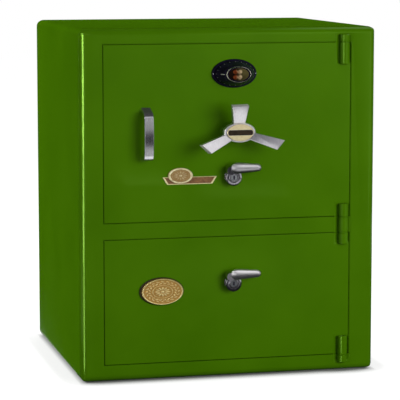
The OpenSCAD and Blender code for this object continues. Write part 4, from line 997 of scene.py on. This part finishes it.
# How far the painted contact shadow under the safe reaches, the shares of open sky at which it is full and
# gone, the share of the floor's glow that is left beside the safe's sides, where the painted shadow is
# lifted, and where that starts and ends, out from a side
CONTACT_REACH = 0.05
CONTACT_FULL = 0.5
CONTACT_GONE = 0.95
SIDE_SHADOW_LIFT = 0.85
SIDE_SHADOW_LIFT_START = -0.015
SIDE_SHADOW_LIFT_END = 0.005
# Strips that only show in the gloss of the left front edge: where they hang and what they face in plan, and
# the lowest line, highest line and watts for each metre of each
EDGE_STRIP_PLAN = (-0.3675, -0.335)
EDGE_PLAN = (-0.33, -0.27)
EDGE_STRIP_WIDTH = 0.027
EDGE_STRIPS = ((0.002, 0.25, 1.25), (0.25, 0.5, 1.95), (0.5, 0.79, 3.3))
# The same beside the lowest and highest hinge barrels: middle, length and watts of each
HINGE_STRIP_PLAN = (0.226, -0.324)
BARREL_PLAN = (0.257, -0.324)
HINGE_STRIP_WIDTH = 0.02
HINGE_STRIPS = ((0.04, 0.08, 0.06), (0.712, 0.075, 0.04))


def is_seen(owner):
    """One where a camera, a reflection or a clear material looks straight at a surface, or else zero."""
    path = add(owner, "ShaderNodeLightPath")
    seen = path.outputs["Is Camera Ray"]
    for ray in ("Is Glossy Ray", "Is Transmission Ray"):
        either = add(owner, "ShaderNodeMath", {0: seen, 1: path.outputs[ray]}, operation="MAXIMUM")
        seen = either.outputs["Value"]
    return seen


def bare_material(name):
    """A material with no shader yet, and its output."""
    mat = bpy.data.materials.new(name)
    mat.use_nodes = True
    mat.node_tree.nodes.remove(mat.node_tree.nodes["Principled BSDF"])
    return mat, mat.node_tree.nodes["Material Output"]


def place_stage(name, bm, mat):
    """Makes a mesh a stage object, which isn't part of the safe."""
    mesh = bpy.data.meshes.new(name)
    bm.to_mesh(mesh)
    bm.free()
    mesh.materials.append(mat)
    prop = bpy.data.objects.new(name, mesh)
    bpy.context.scene.collection.objects.link(prop)
    return prop


def studio_floor():
    """A matt pale floor that looks white. Its diffuse part keeps the real shadow; its glow carries a painted
    contact shadow, darkest where the safe meets it and mostly taken away again beside the safe's sides."""
    bm = bmesh.new()
    bmesh.ops.create_grid(bm, x_segments=1, y_segments=1, size=FLOOR_HALF)
    mat, output = bare_material("matt white floor")
    paper = add(mat, "ShaderNodeBsdfDiffuse", {"Color": srgb("949494")})
    # Painted contact shadow: the glow is dimmed where nearby geometry closes off the open sky
    open_sky = add(mat, "ShaderNodeAmbientOcclusion", {"Distance": CONTACT_REACH})
    contact = add(mat, "ShaderNodeMapRange", {"Value": open_sky.outputs["AO"], "From Min": CONTACT_FULL,
                                              "From Max": CONTACT_GONE})
    place = add(mat, "ShaderNodeTexCoord").outputs["Object"]
    axes = add(mat, "ShaderNodeSeparateXYZ", {"Vector": place})
    # Painted: the contact shadow is mostly taken away beside the safe's sides, by position
    aside = add(mat, "ShaderNodeMath", {0: axes.outputs["X"]}, operation="ABSOLUTE")
    beside = add(mat, "ShaderNodeMapRange", {"Value": aside.outputs["Value"],
                                             "From Min": SAFE_SIDE + SIDE_SHADOW_LIFT_START,
                                             "From Max": SAFE_SIDE + SIDE_SHADOW_LIFT_END, "To Max": SIDE_SHADOW_LIFT})
    glow_after_painted_shadow = add(mat, "ShaderNodeMath", {0: contact.outputs["Result"], 1: beside.outputs["Result"]},
              operation="MAXIMUM")
    shown = add(mat, "ShaderNodeMath", {0: is_seen(mat), 1: glow_after_painted_shadow.outputs["Value"]}, operation="MULTIPLY")
    glow = add(mat, "ShaderNodeEmission", {"Color": srgb("F2F2F2"), "Strength": shown.outputs["Value"]})
    both = add(mat, "ShaderNodeAddShader", {0: paper.outputs["BSDF"], 1: glow.outputs["Emission"]})
    link(mat, both.outputs["Shader"], output, "Surface")
    place_stage("studio_floor", bm, mat)


def card(name, low, high, tone):
    """A card that reflections alone see. It keeps the white surround out of the gloss."""
    low, high = Vector(low), Vector(high)
    bm = bmesh.new()
    bmesh.ops.create_cube(bm, size=1.0)
    bmesh.ops.scale(bm, vec=high - low, verts=bm.verts)
    bmesh.ops.translate(bm, vec=(low + high) / 2, verts=bm.verts)
    mat, output = bare_material(name + " tone")
    glow = add(mat, "ShaderNodeEmission", {"Color": srgb(tone)})
    link(mat, glow.outputs["Emission"], output, "Surface")
    prop = place_stage(name, bm, mat)
    prop.visible_camera = False
    prop.visible_diffuse = False
    prop.visible_shadow = False


def lamp(name, place, aim, width, height, watts, reflected=False):
    """A soft lamp. It either lights the object or, where it is reflected, only shows in the gloss."""
    light = bpy.data.lights.new(name, "AREA")
    light.shape = "RECTANGLE"
    light.size = width
    light.size_y = height
    light.energy = watts
    obj = bpy.data.objects.new(name, light)
    obj.location = place
    obj.rotation_euler = (Vector(aim) - Vector(place)).to_track_quat("-Z", "Y").to_euler()
    obj.visible_camera = False
    obj.visible_glossy = reflected
    obj.visible_diffuse = not reflected
    bpy.context.scene.collection.objects.link(obj)


def studio_world():
    """Even light all round, with a white surround where it is looked at."""
    world = bpy.data.worlds.new("studio")
    world.use_nodes = True
    ambient = world.node_tree.nodes["Background"]
    ambient.inputs["Color"].default_value = srgb("FFFFFF")
    ambient.inputs["Strength"].default_value = AMBIENT
    white = add(world, "ShaderNodeBackground", {"Color": srgb("FFFFFF")})
    mix = add(world, "ShaderNodeMixShader", {"Fac": is_seen(world), 1: ambient.outputs["Background"],
                                             2: white.outputs["Background"]})
    link(world, mix.outputs["Shader"], world.node_tree.nodes["World Output"], "Surface")
    bpy.context.scene.world = world


studio_floor()
studio_world()
card("front_card", (-0.6, -3.61, 0.0), (1.8, -3.6, 0.5), "303033")
card("front_high_card", (-0.3, -3.61, 0.5), (1.8, -3.6, 1.3), "A8A8A8")
card("front_floor_card", (-0.6, -3.6, 0.001), (1.8, -0.2, 0.004), "303033")
card("pull_floor_card", (0.05, -2.1, 0.005), (0.55, -1.2, 0.008), "C8C8C8")
card("pull_bend_card", (-0.22, -0.46, 0.42), (-0.1, -0.32, 0.423), "FFFFFF")
card("arm_card", (-0.02, -0.56, 0.38), (0.17, -0.385, 0.383), "FFFFFF")
card("camera_side_card", (-2.8, -3.31, 0.9), (0.4, -3.3, 3.6), "9A9AA0")
card("arm_shade_card", (-1.7, -3.21, 1.35), (-0.5, -3.2, 2.5), "1E1E20")
card("strip_blind", (-0.301, -0.44, 0.0), (-0.3, -0.28, 0.8), "5A5A5A")
card("left_card", (-2.01, -1.3, 0.0), (-2.0, 1.4, 1.4), "1A2B00")
card("left_floor_card", (-2.0, -0.2, 0.001), (-0.333, 1.4, 0.004), "3A6200")
card("right_card", (2.0, -1.5, 0.0), (2.01, 1.4, 1.8), "2C2C2C")
card("right_floor_card", (0.333, -0.2, 0.001), (1.6, 1.4, 0.004), "3A6200")
card("back_card", (-2.0, 1.4, 0.0), (1.6, 1.41, 3.4), "3A6200")
card("top_card", (-0.9, -0.6, 2.6), (0.9, 1.4, 2.61), "1F3400")
card("top_edge_card", (-0.5, -0.8, 1.0), (1.0, -0.28, 1.003), "242424")
lamp("key", (1.9, -4.4, 1.2), CENTRE, 2.6, 2.2, 158)
lamp("left_fill", (-4.0, 1.8, 1.0), CENTRE, 2.0, 2.0, 132)
lamp("top_fill", (0.0, 2.2, 3.0), CENTRE, 1.6, 1.6, 48)
for strip_low, strip_high, strip_watts in EDGE_STRIPS:
    strip_middle = (strip_low + strip_high) / 2
    strip_length = strip_high - strip_low
    lamp("edge_strip", (*EDGE_STRIP_PLAN, strip_middle), (*EDGE_PLAN, strip_middle), EDGE_STRIP_WIDTH,
         strip_length, strip_watts * strip_length, reflected=True)
for strip_middle, strip_length, strip_watts in HINGE_STRIPS:
    lamp("hinge_strip", (*HINGE_STRIP_PLAN, strip_middle), (*BARREL_PLAN, strip_middle), HINGE_STRIP_WIDTH,
         strip_length, strip_watts, reflected=True)

camera = bpy.data.cameras.new("camera")
camera.lens = FOCAL_LENGTH
camera.sensor_width = SENSOR_WIDTH
camera_object = bpy.data.objects.new("camera", camera)
camera_object.location = CAMERA_PLACE
camera_object.rotation_euler = [math.radians(a) for a in CAMERA_TURN]
bpy.context.scene.collection.objects.link(camera_object)
bpy.context.scene.camera = camera_object
bpy.context.scene.view_settings.view_transform = "Standard"
